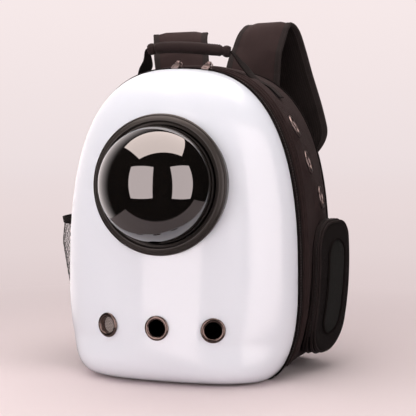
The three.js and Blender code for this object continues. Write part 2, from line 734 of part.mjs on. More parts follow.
function makeHandle() {
  const gripPath = smoothPath(GRIP_PATH);
  const gripSection = (share) => {
    const swell = GRIP_END + (1 - GRIP_END) * Math.sqrt(Math.sin(Math.PI * share));
    return Array.from({ length: GRIP_SIDES }, (_, i) => {
      const angle = (2 * Math.PI * i) / GRIP_SIDES;
      return [GRIP_RADIUS * swell * Math.cos(angle), GRIP_RADIUS * swell * Math.sin(angle)];
    });
  };
  addPiece('handle_grip', ribbon(gripPath, GRIP_STEPS, () => vector(0, 1, 0), gripSection), PADDED);

  const { wide, thick, steps, lift } = HANDLE_WEB;
  for (const { side, x, turn, rise } of HANDLE_FEET) {
    const sign = Math.sign(x);
    const slope = (topZAt(x + 1) - topZAt(x - 1)) / 2;
    const out = vector(-slope, 0, 1).normalize();
    const along = vector(1, 0, slope).normalize();
    const seat = vector(x, HANDLE_FOOT_Y, topZAt(x))
      .addScaledVector(out, gussetOut(HANDLE_FOOT_Y, topZAt(x)) + GAP + thick / 2 + lift);
    const gripEnd = asVector(sign < 0 ? GRIP_PATH[0] : GRIP_PATH.at(-1));
    const gripNext = asVector(sign < 0 ? GRIP_PATH[1] : GRIP_PATH.at(-2));
    const outOfGrip = gripEnd.clone().sub(gripNext).normalize();
    const points = [
      seat.clone().addScaledVector(along, sign * HANDLE_FOOT_LONG),
      seat,
      ...rise,
      gripEnd.clone().addScaledVector(outOfGrip, GRIP_LEAD.straight),
      gripEnd.clone().addScaledVector(outOfGrip, GRIP_LEAD.start),
    ];
    const across = (share) => {
      return vector(turn * THREE.MathUtils.smoothstep(share, HANDLE_WEB.turnFrom, HANDLE_WEB.turnTo), 1, 0);
    };
    const web = ribbon(smoothPath(points), steps, across, () => flatSection(wide, thick));
    addPiece(`handle_web_${side}`, sewnOn(web), TAPE);
  }
}

function makeStraps() {
  const { wide, thick, edge, bevel, steps } = STRAP;
  for (const { side, turns, points } of STRAP_PATHS) {
    const sign = Math.sign(points[0].x);
    const path = smoothPath(points);
    const padSection = (share) => {
      const half = (wide / 2) * readTable(STRAP_ENDS, 'share', 'wide', share);
      const [face, side1] = [thick / 2, edge / 2];
      return [
        [-half, -side1], [-half + bevel, -face], [half - bevel, -face], [half, -side1],
        [half, side1], [half - bevel, face], [-half + bevel, face], [-half, side1],
      ];
    };
    const turned = (share) => vector(1, readTable(turns, 'share', 'turn', share), 0);
    addPiece(`strap_${side}`, ribbon(path, steps, turned, padSection), PADDED);

    // Below the pad: a plain adjuster, and webbing down to the corner of the back panel
    const end = asVector(points.at(-1));
    const down = path.getTangentAt(1);
    const across = vector(1, 0, 0).addScaledVector(down, -down.x).normalize();
    const plate = new THREE.Shape();
    const [w, t, c] = [ADJUSTER.wide / 2, ADJUSTER.tall, ADJUSTER.corner];
    plate.moveTo(-w + c, 0).lineTo(w - c, 0).lineTo(w, c).lineTo(w, t - c);
    plate.lineTo(w - c, t).lineTo(-w + c, t).lineTo(-w, t - c).lineTo(-w, c);
    const body = new THREE.ExtrudeGeometry(plate, { depth: ADJUSTER.thick, bevelEnabled: false });
    body.translate(0, GAP, -ADJUSTER.thick / 2);
    body.applyMatrix4(new THREE.Matrix4().makeBasis(across, down, across.clone().cross(down)));
    body.translate(end.x, end.y, end.z);
    addPiece(`adjuster_${side}`, body, BLACK_PLASTIC);

    const webStart = end.clone().addScaledVector(down, ADJUSTER.tall + 2 * GAP);
    const webY = BACK_Y + GAP + PANEL_THICK + GAP + STRAP_WEB.thick / 2;
    const anchor = vector(sign * WEB_ANCHOR.x, webY, WEB_ANCHOR.z);
    const webPath = smoothPath([
      webStart,
      webStart.clone().addScaledVector(down, STRAP_WEB.lead),
      webStart.clone().lerp(anchor, 0.5).add(vector(0, STRAP_WEB.bow, 0)),
      anchor.clone().add(vector(0, WEB_ANCHOR.lift, 2 * WEB_ANCHOR.lie)),
      anchor.clone().add(vector(0, 0, WEB_ANCHOR.lie)),
      anchor,
    ]);
    const web = ribbon(webPath, STRAP_WEB.steps, () => vector(1, 0, 0),
      () => flatSection(STRAP_WEB.wide, STRAP_WEB.thick));
    addPiece(`strap_web_${side}`, web, TAPE);
  }
}

// Zip pocket
function roundedRectangle(halfLong, halfTall, corners, steps) {
  const points = [];
  const centres = [[1, -1], [1, 1], [-1, 1], [-1, -1]];
  centres.forEach(([sy, sz], quarter) => {
    const corner = corners[quarter];
    for (let i = 0; i <= steps; i += 1) {
      const angle = (Math.PI / 2) * (quarter - 1 + i / steps);
      points.push({
        y: sy * (halfLong - corner) + corner * Math.cos(angle),
        z: sz * (halfTall - corner) + corner * Math.sin(angle),
        outY: Math.cos(angle),
        outZ: Math.sin(angle),
      });
    }
  });
  return points;
}

const pocketFaceX = (y) => POCKET_FACE.x + POCKET_FACE.slope * (y - POCKET.y);

function pocketSolid(inset, seat) {
  const corners = POCKET.corners.map((corner) => corner - inset);
  const [halfLong, halfTall] = [POCKET.halfLong - inset, POCKET.halfTall - inset];
  const edge = roundedRectangle(halfLong, halfTall, corners, POCKET_CORNER_STEPS);
  const place = (p, width) => [POCKET.y + (p.y + POCKET.lean * p.z) * width, POCKET.z + p.z * width];
  const rings = POCKET_RINGS.map(({ share, width }) => edge.map((p) => {
    const [y, z] = place(p, width);
    const base = gussetSideX(...place(p, 1)) - seat;
    return vector(THREE.MathUtils.lerp(base, pocketFaceX(y) - inset, share), y, z);
  }));
  return toSolid(loft(rings));
}

function makeZipPocket() {
  const outside = pocketSolid(0, POCKET_SEAT.outside);
  const pouch = outside.subtract(pocketSolid(POCKET.wall, POCKET_SEAT.inside));
  addPiece('side_pocket', sewnOn(fromSolid(pouch)), FABRIC);

  const ends = Array(4).fill(INSERT.halfWide);
  const stadium = roundedRectangle(INSERT.halfWide, INSERT.halfTall, ends, INSERT.steps);
  const onFace = (p, out, lift) => {
    const z = INSERT.z + p.z + p.outZ * out;
    const y = INSERT.y + p.y + p.outY * out + INSERT.lean * (z - INSERT.z);
    return vector(pocketFaceX(y) + lift, y, z);
  };
  const insertRings = [GAP, GAP + INSERT.thick].map((lift) => stadium.map((p) => onFace(p, 0, lift)));
  addPiece('pocket_insert', loft(insertRings), NET_CLOTH);
  const pipingRings = stadium.map((p) => Array.from({ length: PIPING_SIDES }, (_, i) => {
    const angle = (2 * Math.PI * i) / PIPING_SIDES;
    const out = PIPING_RADIUS + GAP + PIPING_RADIUS * Math.cos(angle);
    return onFace(p, out, GAP + PIPING_RADIUS * (1 + Math.sin(angle)));
  }));
  addPiece('pocket_piping', loft(pipingRings, true), TAPE);

  // The pocket's zip runs up its front side and over its top
  const edge = roundedRectangle(POCKET.halfLong, POCKET.halfTall, POCKET.corners, POCKET_CORNER_STEPS);
  const run = edge.slice(POCKET_ZIP.from, POCKET_ZIP.to);
  const zipRings = run.map((p) => {
    const [y, z] = [POCKET.y + p.y + POCKET.lean * p.z, POCKET.z + p.z];
    const base = gussetSideX(y, z) + GAP;
    const middle = THREE.MathUtils.lerp(base, pocketFaceX(y), POCKET_ZIP.share);
    return POCKET_ZIP_SECTION.map(({ across, lift }) => {
      const out = GAP + POCKET_ZIP.tall * lift;
      return vector(middle + POCKET_ZIP.wide * across, y + p.outY * out, z + p.outZ * out);
    });
  });
  addPiece('pocket_zip', loft(zipRings), TAPE);
}

// Net pocket: a thin wall that bulges from the gusset, closed at its foot and sides
function netBulge(share, z) {
  const belly = Math.sqrt(1 - Math.abs(2 * share - 1) ** NET.power);
  return readTable(NET_BULGE, 'z', 'bulge', z) * belly;
}

function netPoint(share, z, lift) {
  const y = THREE.MathUtils.lerp(NET.frontY, NET.backY, share);
  return vector(NET.sink - gussetSideX(y, z) - lift - netBulge(share, z), y, z);
}

function netWall(fromZ, toZ, rows, thick) {
  const rings = [];
  for (let r = 0; r <= rows; r += 1) {
    const z = THREE.MathUtils.lerp(fromZ, toZ, r / rows);
    const shares = Array.from({ length: NET_COLUMNS + 1 }, (_, i) => {
      const even = i / NET_COLUMNS;
      return (1 - Math.cos(Math.PI * even)) / 2;
    });
    const outer = shares.map((s) => netPoint(s, z, thick));
    const inner = shares.map((s) => {
      const fromSeam = Math.min(s, 1 - s);
      const root = NET_ROOT.deep * (1 - THREE.MathUtils.smoothstep(netBulge(s, z), 0, NET_ROOT.fade));
      const point = netPoint(s, z, -root);
      if (fromSeam < NET_SEAM.share) {
        point.y += Math.min(1, fromSeam / NET_SEAM.ramp) * thick * Math.sign(0.5 - s);
      }
      return point;
    });
    rings.push([...outer, ...inner.reverse()]);
  }
  return loft(rings, false, true);
}

function makeNetPocket() {
  addPiece('net_pocket', sewnOn(netWall(NET.bottomZ, NET.topZ - GAP, NET_ROWS, NET.wall)), NET_CLOTH);
  addPiece('net_band', sewnOn(netWall(NET_BAND.from, NET_BAND.to, 1, NET_BAND.thick)), TAPE);
}

makeShell();
makeWindow();
makeFrontEyelets();
makeBands();
makeGusset();
makeBack();
makeZipPulls();
makeHandle();
makeStraps();
makeZipPocket();
makeNetPocket();

export default bag;
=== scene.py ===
import math

import bmesh
import bpy
import numpy as np
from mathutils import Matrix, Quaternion, Vector, noise


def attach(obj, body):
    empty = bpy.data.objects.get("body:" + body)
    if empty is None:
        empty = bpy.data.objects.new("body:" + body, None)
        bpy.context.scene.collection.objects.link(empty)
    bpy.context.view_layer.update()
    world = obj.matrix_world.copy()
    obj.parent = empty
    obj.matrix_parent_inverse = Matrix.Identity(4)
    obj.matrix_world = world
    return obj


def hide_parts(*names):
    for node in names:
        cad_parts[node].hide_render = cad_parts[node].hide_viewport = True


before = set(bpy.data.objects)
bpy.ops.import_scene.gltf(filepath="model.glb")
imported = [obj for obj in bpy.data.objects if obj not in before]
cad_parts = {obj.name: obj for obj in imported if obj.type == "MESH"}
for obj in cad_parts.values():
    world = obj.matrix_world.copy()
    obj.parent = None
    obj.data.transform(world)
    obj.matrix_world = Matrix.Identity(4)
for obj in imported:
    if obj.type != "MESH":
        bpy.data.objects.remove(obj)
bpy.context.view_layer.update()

# Front shell
# A shield of glossy white plastic, moulded in one piece and domed forwards, with a round hole for
# the window and three punched vents near its foot. The binding behind it holds its rim.
MM = 0.001
GAP = 0.3
BAG = "bag"
HALF_WIDTH, WIDEST_Z, HEIGHT, FOOT_HALF = 163.6, 123.5, 417.6, 110
ARCH_POWER, CORNER_POWER = 2.66, 2.3
OUTLINE_STEPS, FOOT_STEPS = 400, 60
RIM_Y = -52
SHELL_DEPTH, SHELL_LEAN, SHELL_MIDDLE_Z, SHELL_WALL = 95, 0.05, 128, 2.5
CROWN_POWER, FOOT_POWER, ACROSS_POWER = 3.5, 5.2, 1.82
ACROSS_FOOT = {"power": 2.6, "below": 60}
SHELL_STATIONS, SHELL_RINGS, RING_SPREAD = 256, 46, 2.6
WINDOW_POINT = np.array([0, RIM_Y - 93.5, 266.0])
WINDOW_LEAN = math.radians(4)
WINDOW_AXIS = np.array([0, -math.cos(WINDOW_LEAN), math.sin(WINDOW_LEAN)])
SHELL_HOLE_RADIUS = 78.7
EYELET_HOLE = 11.5
FRONT_EYELETS = {"left": (-74, 77.9), "centre": (0, 79.6), "right": (72.5, 78.2)}
BIT_LONG = {"window": 160, "vent": 30, "air": 12}
COAT = {"thin": 0.1, "full": 0.9, "edge_y": (-0.06, -0.095), "left_x": (-0.05, 0.05)}
WEAVE_MAP, CAP_MAP = "weave", 0.004


def unit(vectors):
    vectors = np.asarray(vectors, float)
    return vectors / np.linalg.norm(vectors, axis=-1, keepdims=True)


def smoothstep(value, low, high):
    share = np.clip((value - low) / (high - low), 0, 1)
    return share * share * (3 - 2 * share)


def run_along(points):
    """The distance run at each point of a polyline."""
    return np.concatenate([[0], np.cumsum(np.linalg.norm(np.diff(points, axis=0), axis=1))])


def resample(points, count, loop=False):
    """Points at even steps along a polyline, or round a closed one."""
    points = np.asarray(points, float)
    if loop:
        points = np.concatenate([points, points[:1]])
    run = run_along(points)
    at = np.linspace(0, run[-1], count, endpoint=not loop)
    return np.stack([np.interp(at, run, column) for column in points.T], 1)


def full_outline():
    """The bag's outline as a fine loop of x and z, from the middle of the foot up the right side."""
    angle = np.linspace(0, math.pi / 2, OUTLINE_STEPS)
    corner, arch = 2 / CORNER_POWER, 2 / ARCH_POWER
    sine, cosine = np.sin(angle), np.cos(angle).clip(0)
    foot = np.stack([np.linspace(0, FOOT_HALF, FOOT_STEPS), np.zeros(FOOT_STEPS)], 1)
    side_x = FOOT_HALF + (HALF_WIDTH - FOOT_HALF) * sine**corner
    side = np.stack([side_x, WIDEST_Z * (1 - cosine**corner)], 1)
    top = np.stack([HALF_WIDTH * cosine**arch, WIDEST_Z + (HEIGHT - WIDEST_Z) * sine**arch], 1)
    right = np.concatenate([foot[:-1], side[:-1], top])
    return np.concatenate([right, right[1:-1][::-1] * (-1, 1)])


def with_outward(points, loop):
    """Adds the outward direction to outline points: columns x, z, out_x, out_z."""
    if loop:
        along = np.roll(points, -1, axis=0) - np.roll(points, 1, axis=0)
    else:
        along = np.gradient(points, axis=0)
    along = unit(along)
    return np.column_stack([points, along[:, 1], -along[:, 0]])


def outline(count):
    return with_outward(resample(full_outline(), count, loop=True), True)


def on_outline(stations, out, y):
    """Outline points moved outwards at a depth, and never under the floor."""
    x = stations[:, 0] + stations[:, 2] * out
    z = np.maximum(0, stations[:, 1] + stations[:, 3] * out)
    return np.stack([x, np.broadcast_to(y, x.shape), z], 1)


def half_width_at(z):
    z = np.asarray(z, float)
    rise = np.clip((z - WIDEST_Z) / (HEIGHT - WIDEST_Z), 0, 1)
    fall = np.clip((WIDEST_Z - z) / WIDEST_Z, 0, 1)
    upper = HALF_WIDTH * (1 - rise**ARCH_POWER) ** (1 / ARCH_POWER)
    swell = (1 - fall**CORNER_POWER) ** (1 / CORNER_POWER)
    return np.where(z >= WIDEST_Z, upper, FOOT_HALF + (HALF_WIDTH - FOOT_HALF) * swell)


def shell_front_y(x, z, grow=0.0):
    """The shell's depth at a place seen from the front, for a shell grown by a clearance."""
    x, z = np.asarray(x, float), np.asarray(z, float)
    above = z >= SHELL_MIDDLE_Z
    rise = (z - SHELL_MIDDLE_Z) / (HEIGHT + grow - SHELL_MIDDLE_Z)
    fall = (SHELL_MIDDLE_Z - z) / (SHELL_MIDDLE_Z + grow)
    reach = np.clip(np.where(above, rise, fall), 0, 1)
    power = np.where(above, CROWN_POWER, FOOT_POWER)
    upright = (1 - reach**power) ** (1 / power)
    foot = smoothstep(ACROSS_FOOT["below"] - z, 0, ACROSS_FOOT["below"])
    bend = ACROSS_POWER + (ACROSS_FOOT["power"] - ACROSS_POWER) * foot
    aside = np.clip(np.abs(x) / np.maximum(half_width_at(z) + grow, 1), 0, 1)
    across = (1 - aside**bend) ** (1 / bend)
    return RIM_Y - (SHELL_DEPTH - SHELL_LEAN * (z - SHELL_MIDDLE_Z) + grow) * upright * across


def shell_normal(x, z, step=2.0):
    slope_x = (shell_front_y(x + step, z) - shell_front_y(x - step, z)) / (2 * step)
    slope_z = (shell_front_y(x, z + step) - shell_front_y(x, z - step)) / (2 * step)
    return unit([slope_x, -1, slope_z])


def in_scene(name, data):
    """A new object in the scene, from a mesh, a curve, a lamp or a camera."""
    made = bpy.data.objects.new(name, data)
    bpy.context.scene.collection.objects.link(made)
    return made


def turn_outwards(mesh, weld=0.0):
    """Welds points that lie within a distance, turns the faces outwards and smooths them."""
    shape = bmesh.new()
    shape.from_mesh(mesh)
    if weld:
        bmesh.ops.remove_doubles(shape, verts=shape.verts, dist=weld)
    bmesh.ops.recalc_face_normals(shape, faces=shape.faces)
    shape.to_mesh(mesh)
    shape.free()
    mesh.shade_smooth()


def new_piece(name, points, faces, map_points=None):
    """A mesh object from points in mm, with its faces turned outwards and a map in metres."""
    mesh = bpy.data.meshes.new(name)
    mesh.from_pydata((np.asarray(points, float) * MM).tolist(), [], faces)
    if map_points is not None:
        layer = mesh.uv_layers.new(name=WEAVE_MAP)
        layer.data.foreach_set("uv", np.asarray(map_points, np.float32).ravel())
    turn_outwards(mesh)
    return in_scene(name, mesh)


def run_lengths(points, loop):
    """Mean distance run along the first axis of a grid, in metres."""
    if loop:
        points = np.concatenate([points, points[:1]])
    steps = np.linalg.norm(np.diff(points, axis=0), axis=2).mean(1)
    return np.concatenate([[0], np.cumsum(steps)]) * MM


def map_corners(corners):
    """Map points of many faces, from the two map columns of each corner."""
    return np.stack([np.stack(corner, 1) for corner in corners], 1).reshape(-1, 2)


def skin(name, grid, loop_rows=False, loop_cols=False, caps=False):
    """A piece through a grid of points in mm: rows and columns may close, end rows may be capped."""
    grid = np.asarray(grid, float)
    rows, cols = grid.shape[:2]
    down, across = run_lengths(grid, loop_rows), run_lengths(grid.swapaxes(0, 1), loop_cols)
    row_starts = np.arange(rows if loop_rows else rows - 1)
    col_starts = np.arange(cols if loop_cols else cols - 1)
    r, c = (cells.ravel() for cells in np.meshgrid(row_starts, col_starts, indexing="ij"))
    r1, c1 = (r + 1) % rows, (c + 1) % cols
    faces = np.stack([r * cols + c, r * cols + c1, r1 * cols + c1, r1 * cols + c], 1).tolist()
    left, right, top, bottom = across[c], across[c + 1], down[r], down[r + 1]
    maps = [map_corners([(left, top), (right, top), (right, bottom), (left, bottom)])]
    points = grid.reshape(-1, 3)
    if caps:
        points = np.concatenate([points, [grid[0].mean(0), grid[-1].mean(0)]])
        left, right = across[col_starts], across[col_starts + 1]
        first, last = (rows * cols, 0, down[0]), (rows * cols + 1, (rows - 1) * cols, down[-1])
        for hub, start, level in (first, last):
            faces += [[hub, start + e, start + (e + 1) % cols] for e in col_starts]
            flat = np.full(len(col_starts), level)
            maps.append(map_corners([(left, flat - CAP_MAP), (left, flat), (right, flat)]))
    return new_piece(name, points, faces, np.concatenate(maps))


def full_turn(steps):
    return np.linspace(0, 2 * math.pi, steps, endpoint=False)


def stand_basis(outward):
    """Two directions across an outward one."""
    outward = unit(outward)
    aside = np.array([1.0, 0, 0]) if abs(outward[0]) < 0.9 else np.array([0, 1.0, 0])
    first = unit(np.cross(outward, aside))
    return first, np.cross(outward, first)


def lathe_grid(profile, sides, point, outward):
    """Profile rows of radius and height, turned about an axis: sides rows, one column a profile point."""
    first, second = stand_basis(outward)
    profile = np.asarray(profile, float)
    turn = full_turn(sides)
    spoke = np.cos(turn)[:, None] * first + np.sin(turn)[:, None] * second
    return np.asarray(point) + spoke[:, None] * profile[:, 0, None] + unit(outward) * profile[:, 1, None]


def settle(piece):
    """Applies a piece's modifiers to its mesh."""
    old = piece.data
    shown = piece.evaluated_get(bpy.context.evaluated_depsgraph_get())
    mesh = bpy.data.meshes.new_from_object(shown)
    piece.modifiers.clear()
    piece.data = mesh
    bpy.data.meshes.remove(old)


def sharpen(piece, degrees):
    """Keeps the edges sharp that turn by more than an angle."""
    piece.data.set_sharp_from_angle(angle=math.radians(degrees))


def drill(piece, holes, sides):
    """Cuts round holes through a piece: each a point, a direction, a radius and a length in mm."""
    for point, outward, radius, long in holes:
        ends = [(radius, -long / 2), (radius, long / 2)]
        bit_grid = lathe_grid(ends, sides, point, outward).swapaxes(0, 1)
        bit = skin("bit", bit_grid, loop_cols=True, caps=True)
        cut = piece.modifiers.new("hole", "BOOLEAN")
        cut.operation, cut.solver, cut.object = "DIFFERENCE", "EXACT", bit
        settle(piece)
        bpy.data.objects.remove(bit)
    sharpen(piece, 40)


class Shade:
    """A socket of a node tree, on which Python's arithmetic adds Math nodes."""

    def __init__(self, nodes, socket):
        self.nodes, self.socket = nodes, socket

    def __add__(self, other):
        return self.nodes.math("ADD", self, other)

    def __radd__(self, other):
        return self.nodes.math("ADD", other, self)

    def __sub__(self, other):
        return self.nodes.math("SUBTRACT", self, other)

    def __rsub__(self, other):
        return self.nodes.math("SUBTRACT", other, self)

    def __mul__(self, other):
        return self.nodes.math("MULTIPLY", self, other)

    def __rmul__(self, other):
        return self.nodes.math("MULTIPLY", other, self)

    def __pow__(self, other):
        return self.nodes.math("POWER", self, other)

    def sine(self):
        return self.nodes.math("SINE", self, 0.0)


class Nodes:
    """A node tree, with one way to add a node and short forms of the common ones."""

    def __init__(self, tree):
        self.tree = tree

    def feed(self, socket, value):
        if isinstance(value, Shade):
            self.tree.links.new(value.socket, socket)
        else:
            socket.default_value = value

    def node(self, kind, settings=None, sockets=None, out=0):
        """A node with its settings made first and then its sockets; out=None gives every output."""
        made = self.tree.nodes.new(kind)
        for key, value in (settings or {}).items():
            setattr(made, key, value)
        for key, value in (sockets or {}).items():
            self.feed(made.inputs[key], value)
        if out is None:
            return [Shade(self, socket) for socket in made.outputs]
        return Shade(self, made.outputs[out])

    def math(self, operation, first, second):
        return self.node("ShaderNodeMath", {"operation": operation}, {0: first, 1: second})

    def mix(self, factor, first, second):
        """A colour between two, by a factor."""
        sockets = {0: factor, 6: (*first, 1), 7: (*second, 1)}
        return self.node("ShaderNodeMix", {"data_type": "RGBA"}, sockets, out=2)

    def ramp(self, value, low, high, smooth=False):
        """How far a value has come from low to high, from 0 to 1."""
        kind = "SMOOTHSTEP" if smooth else "LINEAR"
        return self.node("ShaderNodeMapRange", {"interpolation_type": kind}, {0: value, 1: low, 2: high})

    def split(self, vector):
        return self.node("ShaderNodeSeparateXYZ", {}, {0: vector}, out=None)


class Finish(Nodes):
    """One material: its shader, with constants set on the shader's sockets."""

    def __init__(self, name, **constants):
        self.material = bpy.data.materials.new(name)
        self.material.use_nodes = True
        super().__init__(self.material.node_tree)
        self.shader = self.tree.nodes["Principled BSDF"]
        for key, value in constants.items():
            self.set({key.replace("_", " ").title().replace("Ior", "IOR"): value})

    def set(self, sockets):
        for name, value in sockets.items():
            self.feed(self.shader.inputs[name], value)

    def place(self):
        """The position in the object's own frame."""
        return self.node("ShaderNodeTexCoord", out=3)

    def grain(self, scale, detail=2.0):
        """Noise from 0 to 1 in the object's own frame, its scale in cycles a metre."""
        sockets = {"Vector": self.place(), "Scale": scale, "Detail": detail}
        return self.node("ShaderNodeTexNoise", {}, sockets)

    def paint(self, factor, dark, light, rough, vary, scale):
        """A base colour between two by a factor, and a roughness that varies with a grain."""
        colour = self.mix(factor, dark, light)
        self.set({"Base Color": colour, "Roughness": rough + vary * self.grain(scale)})

    def bump(self, height, depth, strength):
        """Feeds the normal with a height; depth is in mm."""
        sockets = {"Height": height, "Distance": depth * MM, "Strength": strength}
        self.set({"Normal": self.node("ShaderNodeBump", {}, sockets)})


def dress(piece, finish, node, body=BAG):
    """Gives a piece its finish and its body, and hides the imported part of the node it stands for, if any.
    """
    piece.data.materials.clear()
    piece.data.materials.append(finish.material)
    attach(piece, body)
    if node:
        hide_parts(node)
    return piece


def shell_rings(grow):
    """Rings of the shell's surface, from the rim to its middle."""
    stations = outline(SHELL_STATIONS)
    rim_x, rim_z = stations[:, 0] + stations[:, 2] * grow, stations[:, 1] + stations[:, 3] * grow
    rings = []
    for i in range(SHELL_RINGS):
        share = 1 - (i / SHELL_RINGS) ** RING_SPREAD
        x, z = rim_x * share, SHELL_MIDDLE_Z + (rim_z - SHELL_MIDDLE_Z) * share
        y = np.full(len(x), RIM_Y) if i == 0 else shell_front_y(x, z, grow)
        rings.append(np.stack([x, y, z], 1))
    return np.array(rings)


gloss_white = Finish("gloss_white", coat_roughness=0.025, specular_ior_level=0.15)
gloss_white.paint(gloss_white.grain(9, 1), (0.76, 0.785, 0.845), (0.78, 0.805, 0.86), 0.30, 0.06, 60)
# The clear coat is thinner towards the left edge.
shell_x, shell_y, _ = gloss_white.split(gloss_white.place())
off_edge = gloss_white.ramp(shell_y, *COAT["edge_y"], smooth=True)
rightward = gloss_white.ramp(shell_x, *COAT["left_x"], smooth=True)
coat_share = gloss_white.math("MAXIMUM", off_edge, rightward)
gloss_white.set({"Coat Weight": COAT["thin"] + (COAT["full"] - COAT["thin"]) * coat_share})
gloss_white.bump(gloss_white.grain(38, 1), 0.12, 0.08)

shell_grid = np.concatenate([shell_rings(0)[::-1], shell_rings(-SHELL_WALL)])
shell = skin("shell", shell_grid, loop_cols=True, caps=True)
shell_holes = [(WINDOW_POINT, WINDOW_AXIS, SHELL_HOLE_RADIUS, BIT_LONG["window"])]
front_vents = {}
for side, (x, z) in FRONT_EYELETS.items():
    front_vents[side] = np.array([x, shell_front_y(x, z), z], float), shell_normal(x, z)
    shell_holes.append((*front_vents[side], EYELET_HOLE, BIT_LONG["vent"]))
drill(shell, shell_holes, 96)
dress(shell, gloss_white, "front_shell")

# Window ring
# A moulded ring of satin black plastic that clamps the bubble to the shell. Its face has a rounded
# outer edge and a fine groove, slopes up to its crest, and steps down deep to the bore.
RING_RADIUS, RING_BORE, RING_SIDES = 92.4, 77.5, 160
RING_TAPER, RING_LONG, RING_STRAIGHT = 6, 40, 4
RING_FOOT = {"low": -60.0, "high": -6.7, "halvings": 30}
RING_WALL = (0, 0.05, 0.3, 0.6, 0.85)
WINDOW_ACROSS = np.array([1.0, 0, 0])
WINDOW_UP = np.array([0, math.sin(WINDOW_LEAN), math.cos(WINDOW_LEAN)])
RING_FACE = [
    (92.4, -6.6), (92.2, -5.4), (91.7, -4.5), (91.0, -3.9), (90.4, -3.6),
    (90.1, -4.0), (89.8, -4.2), (89.5, -3.7),
    (89.0, -2.9), (88.0, -2.2), (86.6, -1.3), (85.2, -0.6), (84.0, -0.15), (83.2, -0.1), (82.8, -0.4),
    (82.4, -1.1), (82.0, -3.2), (81.5, -4.4),
    (80.6, -4.75), (78.6, -5.0), (77.75, -5.3), (77.5, -6.0),
]


def ring_point(radius, turn, height):
    """A point of the window's own frame: radius, angle and height along its axis."""
    spoke = np.cos(turn)[..., None] * WINDOW_ACROSS + np.sin(turn)[..., None] * WINDOW_UP
    across = np.asarray(radius)[..., None] * spoke
    return WINDOW_POINT + across + np.asarray(height)[..., None] * WINDOW_AXIS


def ring_foot(turn, radius_at):
    """The points where a wall of the ring meets the shell, a clearance in front of it."""
    low, high = np.full(len(turn), RING_FOOT["low"]), np.full(len(turn), RING_FOOT["high"])
    for _ in range(RING_FOOT["halvings"]):
        middle = (low + high) / 2
        x, y, z = ring_point(radius_at(middle), turn, middle).T
        inside = y > shell_front_y(x, z, GAP)
        low, high = np.where(inside, middle, low), np.where(inside, high, middle)
    return ring_point(radius_at(high), turn, high)


def tapered_radius(height):
    return RING_RADIUS - RING_TAPER * (-RING_STRAIGHT - height) / (RING_LONG - RING_STRAIGHT)


satin_black = Finish("satin_black", specular_ior_level=0.5)
satin_black.paint(satin_black.grain(60), (0.020, 0.016, 0.014), (0.030, 0.025, 0.022), 0.32, 0.12, 300)
satin_black.bump(satin_black.grain(1400), 0.12, 0.25)

ring_turn = full_turn(RING_SIDES)
outer_foot = ring_foot(ring_turn, tapered_radius)
inner_foot = ring_foot(ring_turn, lambda height: RING_BORE)
ring_face = [ring_point(radius, ring_turn, height) for radius, height in RING_FACE]
outer_wall = [outer_foot + (ring_face[0] - outer_foot) * share for share in RING_WALL]
window_ring = skin("ring", np.array([*outer_wall, *ring_face, inner_foot]), loop_rows=True, loop_cols=True)
sharpen(window_ring, 60)
dress(window_ring, satin_black, "window_ring")

# Bubble window
# Half a ball of dark smoked plastic, blown thin, on a flange that the ring's bore holds. Two round
# air holes are drilled through its underside.
DOME_RADIUS, DOME_FORWARD, DOME_WALL, DOME_STEPS, DOME_SIDES = 76.5, 1, 2.5, 48, 144
DOME_FLANGE = {"radius": 77.2, "from": -15, "to": -11, "neck": 1.5}
AIR_HOLES = {"radius": 8.5, "from_axis": 77.5, "turns": (-113, -86.5)}
dome_centre = WINDOW_POINT + WINDOW_AXIS * DOME_FORWARD


def dome_arc(radius):
    rise = np.linspace(-math.asin(DOME_FORWARD / DOME_RADIUS), math.pi / 2, DOME_STEPS)[:-1]
    return np.stack([radius * np.cos(rise), DOME_FORWARD + radius * np.sin(rise)], 1)


smoked = Finish("smoked", ior=2.4)
smoked.paint(smoked.grain(12, 1), (0.0035, 0.0027, 0.0023), (0.0055, 0.0043, 0.0036), 0.02, 0.025, 25)

dome_outer, dome_inner = dome_arc(DOME_RADIUS), dome_arc(DOME_RADIUS - DOME_WALL)
dome_neck = [
    (dome_inner[0, 0], DOME_FLANGE["from"]), (DOME_FLANGE["radius"], DOME_FLANGE["from"]),
    (DOME_FLANGE["radius"], DOME_FLANGE["to"]), (dome_outer[0, 0], DOME_FLANGE["to"] + DOME_FLANGE["neck"]),
]
dome_profile = np.concatenate([dome_inner[::-1], dome_neck, dome_outer])
dome_grid = lathe_grid(dome_profile, DOME_SIDES, WINDOW_POINT, WINDOW_AXIS).swapaxes(0, 1)
dome = skin("dome", dome_grid, loop_cols=True, caps=True)
air_holes = []
for degrees in AIR_HOLES["turns"]:
    polar, turn = math.radians(AIR_HOLES["from_axis"]), math.radians(degrees)
    spoke = math.cos(turn) * WINDOW_ACROSS + math.sin(turn) * WINDOW_UP
    outward = math.cos(polar) * WINDOW_AXIS + math.sin(polar) * spoke
    air_holes.append((dome_centre + outward * DOME_RADIUS, outward, AIR_HOLES["radius"], BIT_LONG["air"]))
drill(dome, air_holes, 48)
dress(dome, smoked, "dome_window")

# Front eyelets and vent wire
# Pressed brass eyelets with a rolled flange and a short barrel, plated dark, set in the shell's vents.
# A disc of woven wire closes the left one behind its barrel.
EYELET_BARREL, EYELET_SIDES = 4.6, 56
EYELET_PROFILE = [
    (10.7, -4.6), (11.2, -4.6), (11.2, 0.3), (15.8, 0.3),
    (16.3, 0.5), (16.4, 1.1), (16.2, 1.8), (15.7, 2.4), (15.0, 2.9), (14.1, 3.2), (13.1, 3.15),
    (12.2, 2.8), (11.5, 2.2), (11.0, 1.3), (10.75, 0.3), (10.7, -1.0),
]
VENT_WIRE = {"disc": 12.2, "pitch": 2.0, "radius": 0.42, "lift": 0.32, "rows": 5, "behind": 0.4}


